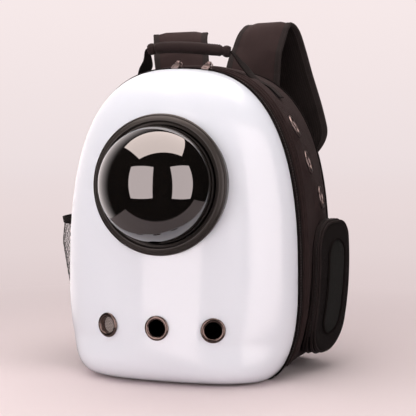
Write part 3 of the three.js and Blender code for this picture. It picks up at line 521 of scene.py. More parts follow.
def eyelet(name, node, point, outward, finish):
    grid = lathe_grid(EYELET_PROFILE, EYELET_SIDES, point, outward)
    piece = skin(name, grid, loop_rows=True, loop_cols=True)
    sharpen(piece, 50)
    dress(piece, finish, node)


def plated(name, dark, light, rough):
    """Plated metal with faint rubbing marks."""
    metal = Finish(name, metallic=1.0)
    metal.paint(metal.grain(180, 4), dark, light, rough, 0.14, 420)
    metal.bump(metal.grain(500), 0.05, 0.2)
    return metal


def tubes(name, runs, radius, sides):
    """One piece of round strands: each run is points in mm and the direction that its frame keeps up."""
    points, faces, base = [], [], 0
    turn, end = full_turn(sides), np.arange(sides)
    for path, up in runs:
        path = np.asarray(path, float)
        along = unit(np.gradient(path, axis=0))
        aside = unit(np.cross(along, np.broadcast_to(up, path.shape)))
        over = np.cross(aside, along)
        ring = np.cos(turn)[:, None] * aside[:, None] + np.sin(turn)[:, None] * over[:, None]
        points.append((path[:, None] + radius * ring).reshape(-1, 3))
        last = len(path) - 1
        r, s = (grid.ravel() for grid in np.meshgrid(np.arange(last), end, indexing="ij"))
        near, far, t = base + r * sides, base + (r + 1) * sides, (s + 1) % sides
        faces += np.stack([near + s, near + t, far + t, far + s], 1).tolist()
        faces += [(base + end).tolist(), (base + last * sides + end).tolist()]
        base += len(path) * sides
    return new_piece(name, np.concatenate(points), faces)


gunmetal = plated("gunmetal", (0.14, 0.105, 0.094), (0.215, 0.167, 0.152), 0.17)
for side, (vent_point, vent_out) in front_vents.items():
    eyelet(f"eyelet_{side}", f"front_eyelet_{side}", vent_point, vent_out, gunmetal)

left_vent, wire_out = front_vents["left"]
wire_middle = left_vent - wire_out * (EYELET_BARREL + GAP + VENT_WIRE["behind"])
wire_across, wire_up = stand_basis(wire_out)
wires = []
for first, second, phase in ((wire_across, wire_up, 0), (wire_up, wire_across, 1)):
    for k in range(-VENT_WIRE["rows"], VENT_WIRE["rows"] + 1):
        offset = k * VENT_WIRE["pitch"]
        reach = math.sqrt(VENT_WIRE["disc"] ** 2 - offset**2)
        t = np.arange(-reach, reach, VENT_WIRE["pitch"] / 3)
        wave = VENT_WIRE["lift"] * np.cos(math.pi * (t / VENT_WIRE["pitch"] + k + phase))
        strand = wire_middle + t[:, None] * first + offset * second + wave[:, None] * wire_out
        wires.append((strand, wire_out))
vent_wire = plated("vent_wire", (0.78, 0.73, 0.70), (0.95, 0.90, 0.87), 0.42)
dress(tubes("vent_wires", wires, VENT_WIRE["radius"], 5), vent_wire, "vent_mesh")

# Rim binding, main zip and foot hinge
# A rolled tape covers the shell's rim. Behind it a nylon coil zip and its two woven tapes run up one
# side and down the other over a band of cloth. A strip of body cloth is the hinge along the foot.
BAND_STATIONS, HINGE_STATIONS = 420, 120
ZIP_END_Z = 14.8
BINDING = {"from": 0.3, "to": 5.2, "depth": 2, "roll": [(0.4, 0), (1.5, 0.3), (2.2, 1.0), (2.6, 2.2)]}
BINDING_SEAM = {"out": 2.5, "behind": 4.6}
TAPES = {"zip_tape_front": (7.6, 10.6), "zip_tape_back": (19, 26.6)}
TAPE = {"depth": 1.4, "roll": [(0, 0), (0.3, 0.4)]}
TAPE_SEAMS = {"out": 0.35, "behind": (19.5, 25.5)}
COIL = {"from": 11.8, "to": 16.4, "bulge": 1.8, "base": 0.5, "crown": 0.2}
TOOTH = {"pitch": 1.9, "radius": 0.55, "lean": 0.32, "inset": 0.5, "bow": 0.5, "steps": 5}
HINGE = {"from": 6.8, "to": 28, "depth": 2}
UNDER_TAPE = {"from": 0.6, "to": 28, "depth": 3, "face": -2.2}
STITCH = {"long": 2.4, "pitch": 3.4, "radius": 0.32, "sides": 5}
STITCH_ARCH = [(-0.5, 0.35, -0.7), (-0.3, 1, 0), (0.3, 1, 0), (0.5, 0.35, -0.7)]


def outline_run(count, foot=False):
    """Even stations along the arch above the zip's ends, or along the foot between them."""
    loop = full_outline()
    top = np.argmax(loop[:, 1])
    right_end = int(np.argmax(loop[:top, 1] > ZIP_END_Z))
    left_end = top + int(np.argmax(loop[top:, 1] < ZIP_END_Z))
    run = np.concatenate([loop[left_end:], loop[:right_end]]) if foot else loop[right_end:left_end]
    return with_outward(resample(run, count), False)


def outward_of(stations):
    """The outward directions of outline points, as vectors."""
    return np.column_stack([stations[:, 2], np.zeros(len(stations)), stations[:, 3]])


def strip_section(strip, front, back, roll):
    """A strip's section, flat underneath: roll has outward and inset columns for both its edges."""
    rise = [(out, front + inset) for out, inset in roll]
    fall = [(out, back - inset) for out, inset in roll[::-1]]
    return [(-strip["depth"], back), (-strip["depth"], front), *rise, *fall]


def around(name, stations, section, loop=False):
    """A section of outward and depth columns, in mm behind the rim, carried along the outline."""
    rings = [on_outline(stations, out, RIM_Y + behind) for out, behind in section]
    return skin(name, np.array(rings).swapaxes(0, 1), loop_rows=loop, loop_cols=True, caps=not loop)


def woven(name, dark, light, thread, depth=0.12, rough=0.78, rib=None, sheen=0.03):
    """Woven cloth on the piece's own map: the pitch of its thread in mm, and of its ribs if any."""
    cloth = Finish(name, sheen_weight=sheen, sheen_roughness=0.45, specular_ior_level=0.1)
    u, v, _ = cloth.split(cloth.node("ShaderNodeUVMap", {"uv_map": WEAVE_MAP}))
    turns = 2 * math.pi / (thread * MM)
    height = (u * turns).sine() * (v * turns).sine() * 0.5 + 0.5
    if rib:
        height = height * 0.4 + (u * (2 * math.pi / (rib * MM))).sine() * 0.6
    cloth.paint(height * 0.35 + cloth.grain(45, 3) * 0.65, dark, light, rough, 0.12, 220)
    cloth.bump(height, depth, 0.8)
    return cloth


def resample_with(path, extra, count):
    """Even points along a path, with a column set that goes with it, at the middle of each step."""
    run = run_along(path)
    at = (np.arange(count) + 0.5) / count * run[-1]
    return np.stack([np.interp(at, run, column) for column in np.column_stack([path, extra]).T], 1)


def stitches(name, runs, long=STITCH["long"], pitch=STITCH["pitch"]):
    """Rows of thread, one short arched bar a stitch: each run is points and outward directions in mm."""
    radius, sides = STITCH["radius"], STITCH["sides"]
    bar = np.array([
        (share * long, radius * thick * math.cos(turn), radius * (thick * math.sin(turn) + drop))
        for share, thick, drop in STITCH_ARCH for turn in full_turn(sides)
    ])
    last = len(bar) - sides
    quads = [[r + s, r + (s + 1) % sides, r + sides + (s + 1) % sides, r + sides + s]
             for r in range(0, last, sides) for s in range(sides)]
    quads += [list(range(sides)), list(range(last, len(bar)))]
    points, faces = [], []
    for path, out in runs:
        path = np.asarray(path, float)
        out = np.broadcast_to(out, path.shape)
        both = resample_with(path, out, max(2, int(run_along(path)[-1] / pitch)))
        along = unit(np.gradient(both[:, :3], axis=0))
        aside = unit(np.cross(both[:, 3:], along))
        over = np.cross(along, aside)
        for p, a, s, o in zip(both[:, :3], along, aside, over):
            faces += [[len(points) * len(bar) + k for k in quad] for quad in quads]
            points.append(p + bar @ np.stack([a, s, o]))
    dress(new_piece(name, np.concatenate(points), faces), thread_black, None)


tape_black = woven(
    "tape_black", (0.0028, 0.0019, 0.0018), (0.0075, 0.0051, 0.0049), 0.9, rib=1.6, sheen=0.0)
cloth_black = woven("cloth_black", (0.013, 0.0077, 0.0074), (0.035, 0.0213, 0.0206), 0.75, rough=0.62)
thread_black = woven("thread_black", (0.022, 0.016, 0.0155), (0.045, 0.0335, 0.0325), 0.5, rough=0.7)
coil_nylon = Finish("coil_nylon", specular_ior_level=0.5)
coil_nylon.paint(coil_nylon.grain(90), (0.012, 0.0086, 0.0083), (0.024, 0.0176, 0.017), 0.34, 0.15, 300)

ring_stations, arch_stations = outline(BAND_STATIONS), outline_run(BAND_STATIONS)
binding_section = strip_section(BINDING, BINDING["from"], BINDING["to"], BINDING["roll"])
rim_binding = around("rim_binding", ring_stations, binding_section, loop=True)
dress(rim_binding, tape_black, "shell_binding")
rim_seam = on_outline(ring_stations, BINDING_SEAM["out"], RIM_Y + BINDING_SEAM["behind"])
stitches("rim_stitches", [(rim_seam, outward_of(ring_stations))])

for tape_name, (front, back) in TAPES.items():
    tape_section = strip_section(TAPE, front, back, TAPE["roll"])
    dress(around(tape_name + "_cloth", arch_stations, tape_section), tape_black, tape_name)
tape_seams = []
for behind in TAPE_SEAMS["behind"]:
    tape_seam = on_outline(arch_stations, TAPE_SEAMS["out"], RIM_Y + behind)
    tape_seams.append((tape_seam, outward_of(arch_stations)))
stitches("zip_stitches", tape_seams)

coil_middle, coil_top = (COIL["from"] + COIL["to"]) / 2, COIL["base"] + COIL["crown"]
coil_section = [(-TAPE["depth"], COIL["to"]), (-TAPE["depth"], COIL["from"]), (COIL["base"], COIL["from"]),
                (coil_top, coil_middle), (COIL["base"], COIL["to"])]
dress(around("zip_coil_core", arch_stations, coil_section), coil_nylon, "zip_coil")
coil_line = resample(on_outline(arch_stations, COIL["base"], 0), 2400)
tooth_stations = outline_run(int(run_along(coil_line)[-1] / TOOTH["pitch"]))
tooth_share = np.linspace(-1, 1, TOOTH["steps"])
tooth_lift = COIL["bulge"] - TOOTH["radius"] - TOOTH["bow"] * np.abs(tooth_share) ** 3
tooth_y = RIM_Y + np.linspace(COIL["from"] + TOOTH["inset"], COIL["to"] - TOOTH["inset"], TOOTH["steps"])
tooth_runs = []
for index, station in enumerate(tooth_stations[1:-1]):
    lean = TOOTH["pitch"] * TOOTH["lean"] * (1 if index % 2 else -1)
    tooth = on_outline(np.repeat(station[None], TOOTH["steps"], axis=0), tooth_lift, tooth_y)
    tooth += np.array([-station[3], 0, station[2]]) * lean * tooth_share[:, None]
    tooth_runs.append((tooth, np.array([station[2], 0, station[3]])))
dress(tubes("zip_teeth", tooth_runs, TOOTH["radius"], 5), coil_nylon, None)

under_section = strip_section(UNDER_TAPE, UNDER_TAPE["from"], UNDER_TAPE["to"], [(UNDER_TAPE["face"], 0)])
dress(around("zip_under_tape", arch_stations, under_section), cloth_black, None)

hinge_section = strip_section(HINGE, HINGE["from"], HINGE["to"], [(0, 0)])
foot_hinge = around("hinge_cloth", outline_run(HINGE_STATIONS, foot=True), hinge_section)
sharpen(foot_hinge, 40)
dress(foot_hinge, cloth_black, "foot_hinge")

# Gusset
# One band of coated black cloth forms the body's sides, top and base. It is flat underneath, lies in
# soft folds beside the zip, and folds outwards along a slanting crease that carries the side vents.
GUSSET_FRONT, BACK_Y, CLOTH = RIM_Y + HINGE["to"] + GAP, 113, 3
FLARE, FOLD, FOLD_POWER = 3, 6.5, 0.86
FOLD_Z, FOLD_Y = [0, 150, 239, 289, 337, 418], [60, 85, 62, 27, 16, 8]
OFF_FLOOR = (10, 120)
SIDE_EYELETS = {1: (16, 337), 2: (27, 289), 3: (62, 239)}
VENT_TURN, VENT_SEAT = (0, 0.13, 0.06), {"flat": 18, "free": 29, "drop": 0.4}
GUSSET_STATIONS, FRONT_COLUMNS, BACK_COLUMNS = 400, 14, 16
GUSSET_SLACK, SLACK_EDGE = [(0.9, 46, 3), (0.45, 19, 8)], 18
GUSSET_SEAM = {"inset": 3, "lift": 0.15}
ZIP_FOLDS = {"behind": (32, 39, 46), "lift": 0.2, "radius": 2.2}


def off_floor(z):
    return smoothstep(z, *OFF_FLOOR)


def gusset_out(y, z):
    """How far the gusset stands out from the outline at a depth and height."""
    y, z = np.asarray(y, float), np.asarray(z, float)
    front_y = RIM_Y + HINGE["to"]
    ridge = np.interp(z, FOLD_Z, FOLD_Y)
    rise = np.where(y < ridge, (y - front_y) / (ridge - front_y), (BACK_Y - y) / (BACK_Y - ridge))
    flare = FLARE * (y - front_y) / (BACK_Y - front_y)
    return (flare + FOLD * np.clip(rise, 0, 1) ** FOLD_POWER) * off_floor(z)


def gusset_side_x(y, z):
    return half_width_at(z) + gusset_out(y, z)


def rumple(points, waves):
    """The slack in cloth: smooth noise at points in mm, in waves of a height, a length and a seed."""
    slack = np.zeros(len(points))
    for high, long, seed in waves:
        shift = Vector((seed, 0, 0))
        slack += high * np.array([noise.noise(Vector(p) * (1 / long) + shift) for p in points])
    return slack


def seat_vents(cloth, drop):
    """Presses the cloth flat under each side vent's flange."""
    for _, point, facing in side_vents:
        off = cloth - point
        press = smoothstep(np.linalg.norm(off, axis=-1), VENT_SEAT["free"], VENT_SEAT["flat"])
        cloth = cloth - facing * (((off @ facing) + drop) * press)[..., None]
    return cloth


gusset_stations = outline(GUSSET_STATIONS)
gusset_z = gusset_stations[:, 1]
ridge_y = np.interp(gusset_z, FOLD_Z, FOLD_Y)
gusset_depths = [GUSSET_FRONT + (ridge_y - GUSSET_FRONT) * t for t in np.linspace(0, 1, FRONT_COLUMNS)]
gusset_depths += [ridge_y + (BACK_Y - ridge_y) * t for t in np.linspace(0, 1, BACK_COLUMNS)[1:]]
outer_columns, inner_columns = [], []
for depth_y in gusset_depths:
    out = gusset_out(depth_y, gusset_z)
    free = np.minimum(1, np.minimum(depth_y - GUSSET_FRONT, BACK_Y - depth_y) / SLACK_EDGE)
    wave = rumple(on_outline(gusset_stations, out, depth_y), GUSSET_SLACK)
    out = out + wave * free * off_floor(gusset_z)
    outer_columns.append(on_outline(gusset_stations, out, depth_y))
    inner_columns.append(on_outline(gusset_stations, out - CLOTH, depth_y))
side_vents = []
for row, (vent_y, vent_z) in SIDE_EYELETS.items():
    vent_slope = float(half_width_at(vent_z + 1) - half_width_at(vent_z - 1)) / 2
    for side, sign in (("right", 1), ("left", -1)):
        vent_out = unit([sign, 0, -vent_slope])
        vent_foot = np.array([sign * float(half_width_at(vent_z)), vent_y, vent_z])
        vent_point = vent_foot + vent_out * float(gusset_out(vent_y, vent_z))
        side_vents.append((f"side_eyelet_{side}_{row}", vent_point, unit(vent_out + VENT_TURN)))
outer_cloth = seat_vents(np.array(outer_columns), VENT_SEAT["drop"])
inner_cloth = seat_vents(np.array(inner_columns[::-1]), VENT_SEAT["drop"] + CLOTH)
gusset_grid = np.concatenate([outer_cloth, inner_cloth]).swapaxes(0, 1)
gusset = skin("gusset_cloth", gusset_grid, loop_rows=True, loop_cols=True)
drill(gusset, [(point, out, EYELET_HOLE, BIT_LONG["vent"]) for _, point, out in side_vents], 40)
dress(gusset, cloth_black, "gusset")

seam_stations, seam_y = gusset_stations[gusset_z > ZIP_END_Z], GUSSET_FRONT + GUSSET_SEAM["inset"]
seam_out = gusset_out(seam_y, seam_stations[:, 1]) + GUSSET_SEAM["lift"]
gusset_seam = on_outline(seam_stations, seam_out, seam_y)
stitches("gusset_stitches", [(gusset_seam, outward_of(seam_stations))])
zip_folds = []
for behind in ZIP_FOLDS["behind"]:
    fold_y = RIM_Y + behind
    fold_out = gusset_out(fold_y, arch_stations[:, 1]) + ZIP_FOLDS["lift"]
    zip_folds.append((on_outline(arch_stations, fold_out, fold_y), (0, 1, 0)))
dress(tubes("gusset_folds", zip_folds, ZIP_FOLDS["radius"], 8), cloth_black, None)

# Side eyelets
# The same pressed eyelets as on the front, plated bright, three along the crease on each side. They
# are turned back a little and sit on the pressed cloth.
nickel = plated("nickel", (0.19, 0.152, 0.145), (0.27, 0.222, 0.213), 0.30)
for vent_name, vent_point, vent_out in side_vents:
    eyelet(vent_name + "_roll", vent_name, vent_point, vent_out, nickel)

# Back panel and its binding
# A foam board under spacer mesh, quilted into pads by stitched channels, with a rolled tape sewn
# round its edge that joins it to the gusset.
PANEL_INSET, PANEL_THICK, PANEL_MIDDLE_Z = 3, 7, 200
PANEL_STATIONS, PANEL_RINGS = 320, 30
PANEL_EDGE = {"thick": 3, "inset": 14}
CHANNELS_X, CHANNELS_Z = (-52, 52), (118, 232, 340)
CHANNEL = {"deep": 2.6, "wide": 4.5}
CHANNEL_SEAMS = {"up": (26, 372, 120), "across": (-50, 50, 60), "inset": 60, "lift": 0.1}
BACK_BINDING = {"bulge": 1.5, "deep": 5.5}
panel_front = BACK_Y + GAP


def bell(value, middle, wide):
    """A bump that is 1 at its middle and falls away to both sides."""
    return np.exp(-(((value - middle) / wide) ** 2))


def panel_back_y(x, z, inset):
    """The back face of the panel: rounded at its edge, drawn in along the channels."""
    share = np.clip((inset - PANEL_INSET) / PANEL_EDGE["inset"], 0, 1)
    thick = PANEL_EDGE["thick"] + (PANEL_THICK - PANEL_EDGE["thick"]) * np.sqrt(1 - (1 - share) ** 2)
    dips = [np.abs(x - line) for line in CHANNELS_X]
    dips += [np.where(np.abs(x) < CHANNELS_X[1], np.abs(z - line), np.inf) for line in CHANNELS_Z]
    return panel_front + thick - CHANNEL["deep"] * bell(np.min(dips, axis=0), 0, CHANNEL["wide"]) * share


def spacer_mesh(name, scale, thread, gap, deep):
    """Knitted mesh with small open cells, scale in cells a metre."""
    mesh = Finish(name, sheen_weight=0.03, sheen_roughness=0.4, specular_ior_level=0.1)
    sockets = {"Vector": mesh.place(), "Scale": scale, "Randomness": 0.15}
    cells = mesh.node("ShaderNodeTexVoronoi", {"feature": "DISTANCE_TO_EDGE"}, sockets)
    hole = mesh.ramp(cells, 0.05, 0.32)
    mesh.paint(hole, thread, gap, 0.7, 0.2, 200)
    mesh.bump(1 - hole, deep, 0.8)
    return mesh


panel_stations = outline(PANEL_STATIONS)
seat_out = FLARE * off_floor(panel_stations[:, 1])
panel_rim = on_outline(panel_stations, seat_out - PANEL_INSET - GAP, 0.0)
panel_rows = []
for i in range(PANEL_RINGS):
    share = 1 - i / PANEL_RINGS
    x, z = panel_rim[:, 0] * share, PANEL_MIDDLE_Z + (panel_rim[:, 2] - PANEL_MIDDLE_Z) * share
    inset = PANEL_INSET + GAP + np.hypot(panel_rim[:, 0] - x, panel_rim[:, 2] - z)
    panel_rows.append(np.stack([x, panel_back_y(x, z, inset), z], 1))
panel_face = panel_rows[0] * (1, 0, 1) + (0, panel_front, 0)
panel = skin("back_pad", np.array([panel_face, *panel_rows]), loop_cols=True, caps=True)
panel_mesh = spacer_mesh("spacer_mesh", 330, (0.034, 0.026, 0.025), (0.008, 0.006, 0.0055), 0.5)
dress(panel, panel_mesh, "back_panel")

up, across = np.linspace(*CHANNEL_SEAMS["up"]), np.linspace(*CHANNEL_SEAMS["across"])
channel_lines = [(np.full(len(up), line), up) for line in CHANNELS_X]
channel_lines += [(across, np.full(len(across), line)) for line in CHANNELS_Z]
channel_runs = []
for x, z in channel_lines:
    y = panel_back_y(x, z, CHANNEL_SEAMS["inset"]) + CHANNEL_SEAMS["lift"]
    channel_runs.append((np.stack([x, y, z], 1), (0, 1, 0)))
stitches("channel_stitches", channel_runs)

deep, bulge = BACK_BINDING["deep"], BACK_BINDING["bulge"]
edge_section = [(-PANEL_INSET, deep), (-PANEL_INSET, 0), (0.3, 0), (1.1, 0.4),
                (bulge, 1.6), (bulge, 3.4), (1.0, 4.9), (0.2, deep)]
edge_rings = [on_outline(panel_stations, seat_out + out, panel_front + behind)
              for out, behind in edge_section]
edge_binding = skin("back_edge", np.array(edge_rings).swapaxes(0, 1), loop_rows=True, loop_cols=True)
dress(edge_binding, tape_black, "back_binding")

# Zip sliders and pull tabs
# Two cast metal sliders ride on the coil at the top of the arch. Each has a bridge of wire, and on
# it hangs a flat pressed tab that lies forward over the rim.
SLIDERS = {"left": -9, "right": 34}
SLIDER = {"long": 12, "wide": 10, "corner": 2.6, "taper": 0.14, "behind": 14}
SLIDER_LAYERS = {"lower": {"share": 1, "thick": 1.5, "bevel": 0.4, "z": 0.75},
                 "upper": {"share": 0.94, "thick": 1.7, "bevel": 0.5, "z": 2.95}}
SLIDER_CORE = {"half": (3.4, 1.5), "corner": 1.2, "thick": 2.0, "bevel": 0.1, "place": (2.2, 0, 1.8)}
BRIDGE = {"half": 4.95, "bar_z": 7.1, "radius": 0.85, "bend": 1.6, "leg_z": (3.2, 5.4), "steps": 6}
TAB = {"long": 20, "wide": 10.5, "thick": 1.6, "corner": 2.4, "bevel": 0.35}
TAB_NECK = {"wide": 5, "end": 6, "half_long": 2.9, "middle": -4.9, "corner": 0.6, "bevel": 0.3}
TAB_EYE = {"radius": 2.85, "bore": 1.75, "round": 0.3, "sides": 28}
TAB_HOLE = {"half": (2.6, 1.5), "corner": 1.4, "from_end": 3.4}
TAB_DROOP = math.radians(24)


def top_z_at(x):
    share = np.abs(np.asarray(x, float)) / HALF_WIDTH
    return WIDEST_Z + (HEIGHT - WIDEST_Z) * (1 - share**ARCH_POWER) ** (1 / ARCH_POWER)


def top_slope_at(x):
    return float(top_z_at(x + 1) - top_z_at(x - 1)) / 2


def rounded(half, corner, steps=5):
    """A rounded rectangle's outline about the origin, for half sizes and a corner radius."""
    points = []
    for quarter, (sx, sy) in enumerate(((1, -1), (1, 1), (-1, 1), (-1, -1))):
        for i in range(steps + 1):
            angle = math.pi / 2 * (quarter - 1 + i / steps)
            points.append((sx * (half[0] - corner) + corner * math.cos(angle),
                           sy * (half[1] - corner) + corner * math.sin(angle)))
    return np.array(points)


def plate(name, loops, thick, bevel):
    """A flat plate with rounded edges from closed outlines in mm, the first its rim and the rest holes."""
    curve = bpy.data.curves.new(name, "CURVE")
    curve.dimensions, curve.fill_mode = "2D", "BOTH"
    curve.extrude = (thick / 2 - bevel) * MM
    curve.bevel_depth, curve.bevel_resolution, curve.offset = bevel * MM, 2, -bevel * MM
    for loop in loops:
        spline = curve.splines.new("POLY")
        spline.points.add(len(loop) - 1)
        points = np.column_stack([loop * MM, np.zeros(len(loop)), np.ones(len(loop))])
        spline.points.foreach_set("co", points.ravel())
        spline.use_cyclic_u = True
    holder = in_scene(name, curve)
    mesh = bpy.data.meshes.new_from_object(holder.evaluated_get(bpy.context.evaluated_depsgraph_get()))
    bpy.data.objects.remove(holder)
    turn_outwards(mesh, weld=1e-6)
    piece = in_scene(name, mesh)
    sharpen(piece, 40)
    return piece


def place_points(piece, origin, axes=np.eye(3)):
    """Moves a piece's mesh from its own frame to a place on the bag, in mm."""
    points = np.empty(len(piece.data.vertices) * 3)
    piece.data.vertices.foreach_get("co", points)
    points = points.reshape(-1, 3) @ np.asarray(axes) + np.asarray(origin) * MM
    piece.data.vertices.foreach_set("co", points.ravel())
    piece.data.update()


def join(name, pieces, origin, axes):
    """One piece from several, moved to its place on the bag."""
    shape = bmesh.new()
    for piece in pieces:
        shape.from_mesh(piece.data)
    mesh = bpy.data.meshes.new(name)
    shape.to_mesh(mesh)
    shape.free()
    for piece in pieces:
        bpy.data.objects.remove(piece)
    joined = in_scene(name, mesh)
    place_points(joined, origin, axes)
    mesh.shade_smooth()
    sharpen(joined, 45)
    return joined


for side, slider_x in SLIDERS.items():
    tilt = math.atan(top_slope_at(slider_x))
    local_x = np.array([math.cos(tilt), 0, math.sin(tilt)])
    local_y = np.array([0.0, 1, 0])
    local_z = np.array([-math.sin(tilt), 0, math.cos(tilt)])
    seat = np.array([slider_x, RIM_Y + SLIDER["behind"], float(top_z_at(slider_x)) + COIL["bulge"] + GAP])

    half_long = SLIDER["long"] / 2
    rim = rounded((half_long, SLIDER["wide"] / 2), SLIDER["corner"])
    rim[:, 1] *= 1 - SLIDER["taper"] + SLIDER["taper"] * rim[:, 0] / half_long
    slider_parts = []
    for layer_name, layer in SLIDER_LAYERS.items():
        part = plate("slider_" + layer_name, [rim * layer["share"]], layer["thick"], layer["bevel"])
        place_points(part, (0, 0, layer["z"]))
        slider_parts.append(part)
    core_rim = rounded(SLIDER_CORE["half"], SLIDER_CORE["corner"])
    core = plate("slider_core", [core_rim], SLIDER_CORE["thick"], SLIDER_CORE["bevel"])
    place_points(core, SLIDER_CORE["place"])
    turn, bend = np.linspace(0, math.pi / 2, BRIDGE["steps"]), BRIDGE["bend"]
    leg = [(-BRIDGE["half"], 0, z) for z in BRIDGE["leg_z"]]
    bend_x, bend_z = bend * (1 - np.cos(turn)) - BRIDGE["half"], BRIDGE["bar_z"] - bend * (1 - np.sin(turn))
    left_half = np.concatenate([leg, np.stack([bend_x, np.zeros(BRIDGE["steps"]), bend_z], 1)])
    bridge_path = np.concatenate([left_half, left_half[::-1] * (-1, 1, 1)])
    bridge = tubes("slider_bridge", [(bridge_path, (0, 1, 0))], BRIDGE["radius"], 10)
    slider = join(f"slider_{side}", [*slider_parts, core, bridge], seat, (local_x, local_y, local_z))
    dress(slider, nickel, f"zip_slider_{side}")

    half_neck, tab_end, neck_end = TAB_NECK["wide"] / 2, -TAB["long"], TAB_NECK["end"]
    tab_rim = rounded((TAB["wide"] / 2, (TAB["long"] - neck_end) / 2), TAB["corner"])
    tab_hole = rounded(TAB_HOLE["half"], TAB_HOLE["corner"]) + (0, tab_end + TAB_HOLE["from_end"])
    tab_loops = [tab_rim + (0, (tab_end - neck_end) / 2), tab_hole[::-1]]
    tab_plate = plate("tab_plate", tab_loops, TAB["thick"], TAB["bevel"])
    neck_rim = rounded((half_neck, TAB_NECK["half_long"]), TAB_NECK["corner"]) + (0, TAB_NECK["middle"])
    tab_neck = plate("tab_neck", [neck_rim], TAB["thick"], TAB_NECK["bevel"])
    eye_radius, eye_round = TAB_EYE["radius"], TAB_EYE["round"]
    eye_half = [(TAB_EYE["bore"], half_neck), (eye_radius - eye_round, half_neck),
                (eye_radius, half_neck - eye_round)]
    eye_profile = [(radius, -height) for radius, height in eye_half] + eye_half[::-1]
    eye_grid = lathe_grid(eye_profile, TAB_EYE["sides"], (0, 0, 0), (1, 0, 0))
    eye = skin("tab_eye", eye_grid, loop_rows=True, loop_cols=True)
    droop_y = math.cos(TAB_DROOP) * local_y + math.sin(TAB_DROOP) * local_z
    droop_z = -math.sin(TAB_DROOP) * local_y + math.cos(TAB_DROOP) * local_z
    bar = seat + local_z * BRIDGE["bar_z"]
    tab = join(f"tab_{side}", [tab_plate, tab_neck, eye], bar, (local_x, droop_y, droop_z))
    dress(tab, nickel, f"pull_tab_{side}", f"pull_tab_{side}")

# Top handle
# A roll of foam in black cloth, lapped and sewn along its top and gathered at both ends, on a
# webbing that is drawn in at the grip. Its feet are sewn to the gusset with boxed stitching.
GRIP_RADIUS, GRIP_SLIM, GRIP_ROWS, GRIP_SIDES = 8, 0.25, 140, 64
GRIP_PATH = [(-57.5, -24, 446), (-32, -27, 448), (2, -27, 447.2), (34, -27, 444), (60, -23, 441)]
GRIP_END, GRIP_TIP, GRIP_CUFF = 0.86, 0.002, 0.09
GRIP_LAP = {"high": 0.55, "turn": 1.35, "sharp": 26, "fade": (2.4, 4.2)}
GRIP_SEAM = {"turn": 1.72, "lift": 0.25, "skip": 16}
GRIP_GATHER = {"high": 0.55, "pleats": 11, "twist": 40, "drawn": 0.3}
GRIP_ROLL, GRIP_TIE = {"high": 1.0, "at": 0.035, "wide": 0.026}, {"deep": 1.8, "at": 0.09, "wide": 0.014}
GRIP_SLACK = {"high": 0.12, "waves": 60, "sway": 2}
GRIP_LEAD = (1.0, -6)
WEB_EDGE = {"thick": 0.3, "inset": 1.2, "columns": 9}
HANDLE_WEB = {"wide": 20, "thick": 2, "lift": 0.8, "rows": 60, "turn": (0.25, 0.55)}
HANDLE_GATHER = {"by": 0.55, "run": (0.55, 0.92)}
HANDLE_FEET = {
    "left": {"x": -92, "turn": 0.6, "rise": [(-81, 16, 415), (-66, -9, 430.5)]},
    "right": {"x": 98, "turn": 0.12, "rise": [(84.5, 18, 406), (71, -5, 425)]},
}
HANDLE_FOOT = {"y": 30, "long": 20}
HANDLE_BOX = {"from_row": 1, "to_row": 14, "half": 7, "lift": 1.15}
BOX_STITCH = {"long": 1.8, "pitch": 2.6}


def smooth_path(points, count):
    """Even points on a centripetal curve through control points."""
    points = np.asarray(points, float)
    ends = np.concatenate([[2 * points[0] - points[1]], points, [2 * points[-1] - points[-2]]])
    fine = []
    for p0, p1, p2, p3 in zip(ends, ends[1:], ends[2:], ends[3:]):
        d0, d1, d2 = (math.sqrt(np.linalg.norm(b - a)) for a, b in ((p0, p1), (p1, p2), (p2, p3)))
        lead = ((p1 - p0) / d0 - (p2 - p0) / (d0 + d1) + (p2 - p1) / d1) * d1
        tail = ((p2 - p1) / d1 - (p3 - p1) / (d1 + d2) + (p3 - p2) / d2) * d1
        t = np.linspace(0, 1, 60, endpoint=False)[:, None]
        fine.append((2 * t**3 - 3 * t**2 + 1) * p1 + (t**3 - 2 * t**2 + t) * lead
                    + (3 * t**2 - 2 * t**3) * p2 + (t**3 - t**2) * tail)
    return resample(np.concatenate([*fine, points[-1:]]), count)


def path_frames(path, across, level=0.0, tip=0.0):
    """Directions along, across and over a path, with the width near a direction and levelled by a share."""
    along = unit(np.gradient(path, axis=0))
    across = np.broadcast_to(np.asarray(across, float), path.shape)
    wide = unit(across - along * (along * across).sum(1, keepdims=True))
    wide[:, 2] = wide[:, 2] * (1 - level) + tip * level
    return along, wide, np.cross(along, wide)


def sweep(name, path, across, sections, level=0.0, tip=0.0):
    """Sections of width and height columns carried along a path, one for each of its points."""
    _, wide, over = path_frames(path, across, level, tip)
    grid = path[:, None] + sections[..., :1] * wide[:, None] + sections[..., 1:] * over[:, None]
    return skin(name, grid, loop_cols=True, caps=True)


def webbing(name, path, across, web, node, gather=1.0):
    """A flat woven strap with rounded edges, its width drawn in by a share for each point."""
    half, face, edge = web["wide"] / 2, web["thick"] / 2, web["thick"] * WEB_EDGE["thick"]
    flat = np.linspace(WEB_EDGE["inset"] - half, half - WEB_EDGE["inset"], WEB_EDGE["columns"])
    section = [(-half, -edge), *[(w, -face) for w in flat], (half, -edge),
               (half, edge), *[(w, face) for w in flat[::-1]], (-half, edge)]
    draw = np.stack(np.broadcast_arrays(gather, np.ones(len(path))), 1)
    piece = sweep(name, path, across, np.array(section) * draw[:, None])
    sharpen(piece, 50)
    dress(piece, web_black, node)


def box_stitches(name, corners, outward):
    """A sewn box with a cross in it, through four corners in turn."""
    a, b, c, d = np.asarray(corners, float)
    lines = [(a, b), (d, c), (a, d), (b, c), (a, c), (d, b)]
    stitches(name, [(np.stack(line), outward) for line in lines], **BOX_STITCH)


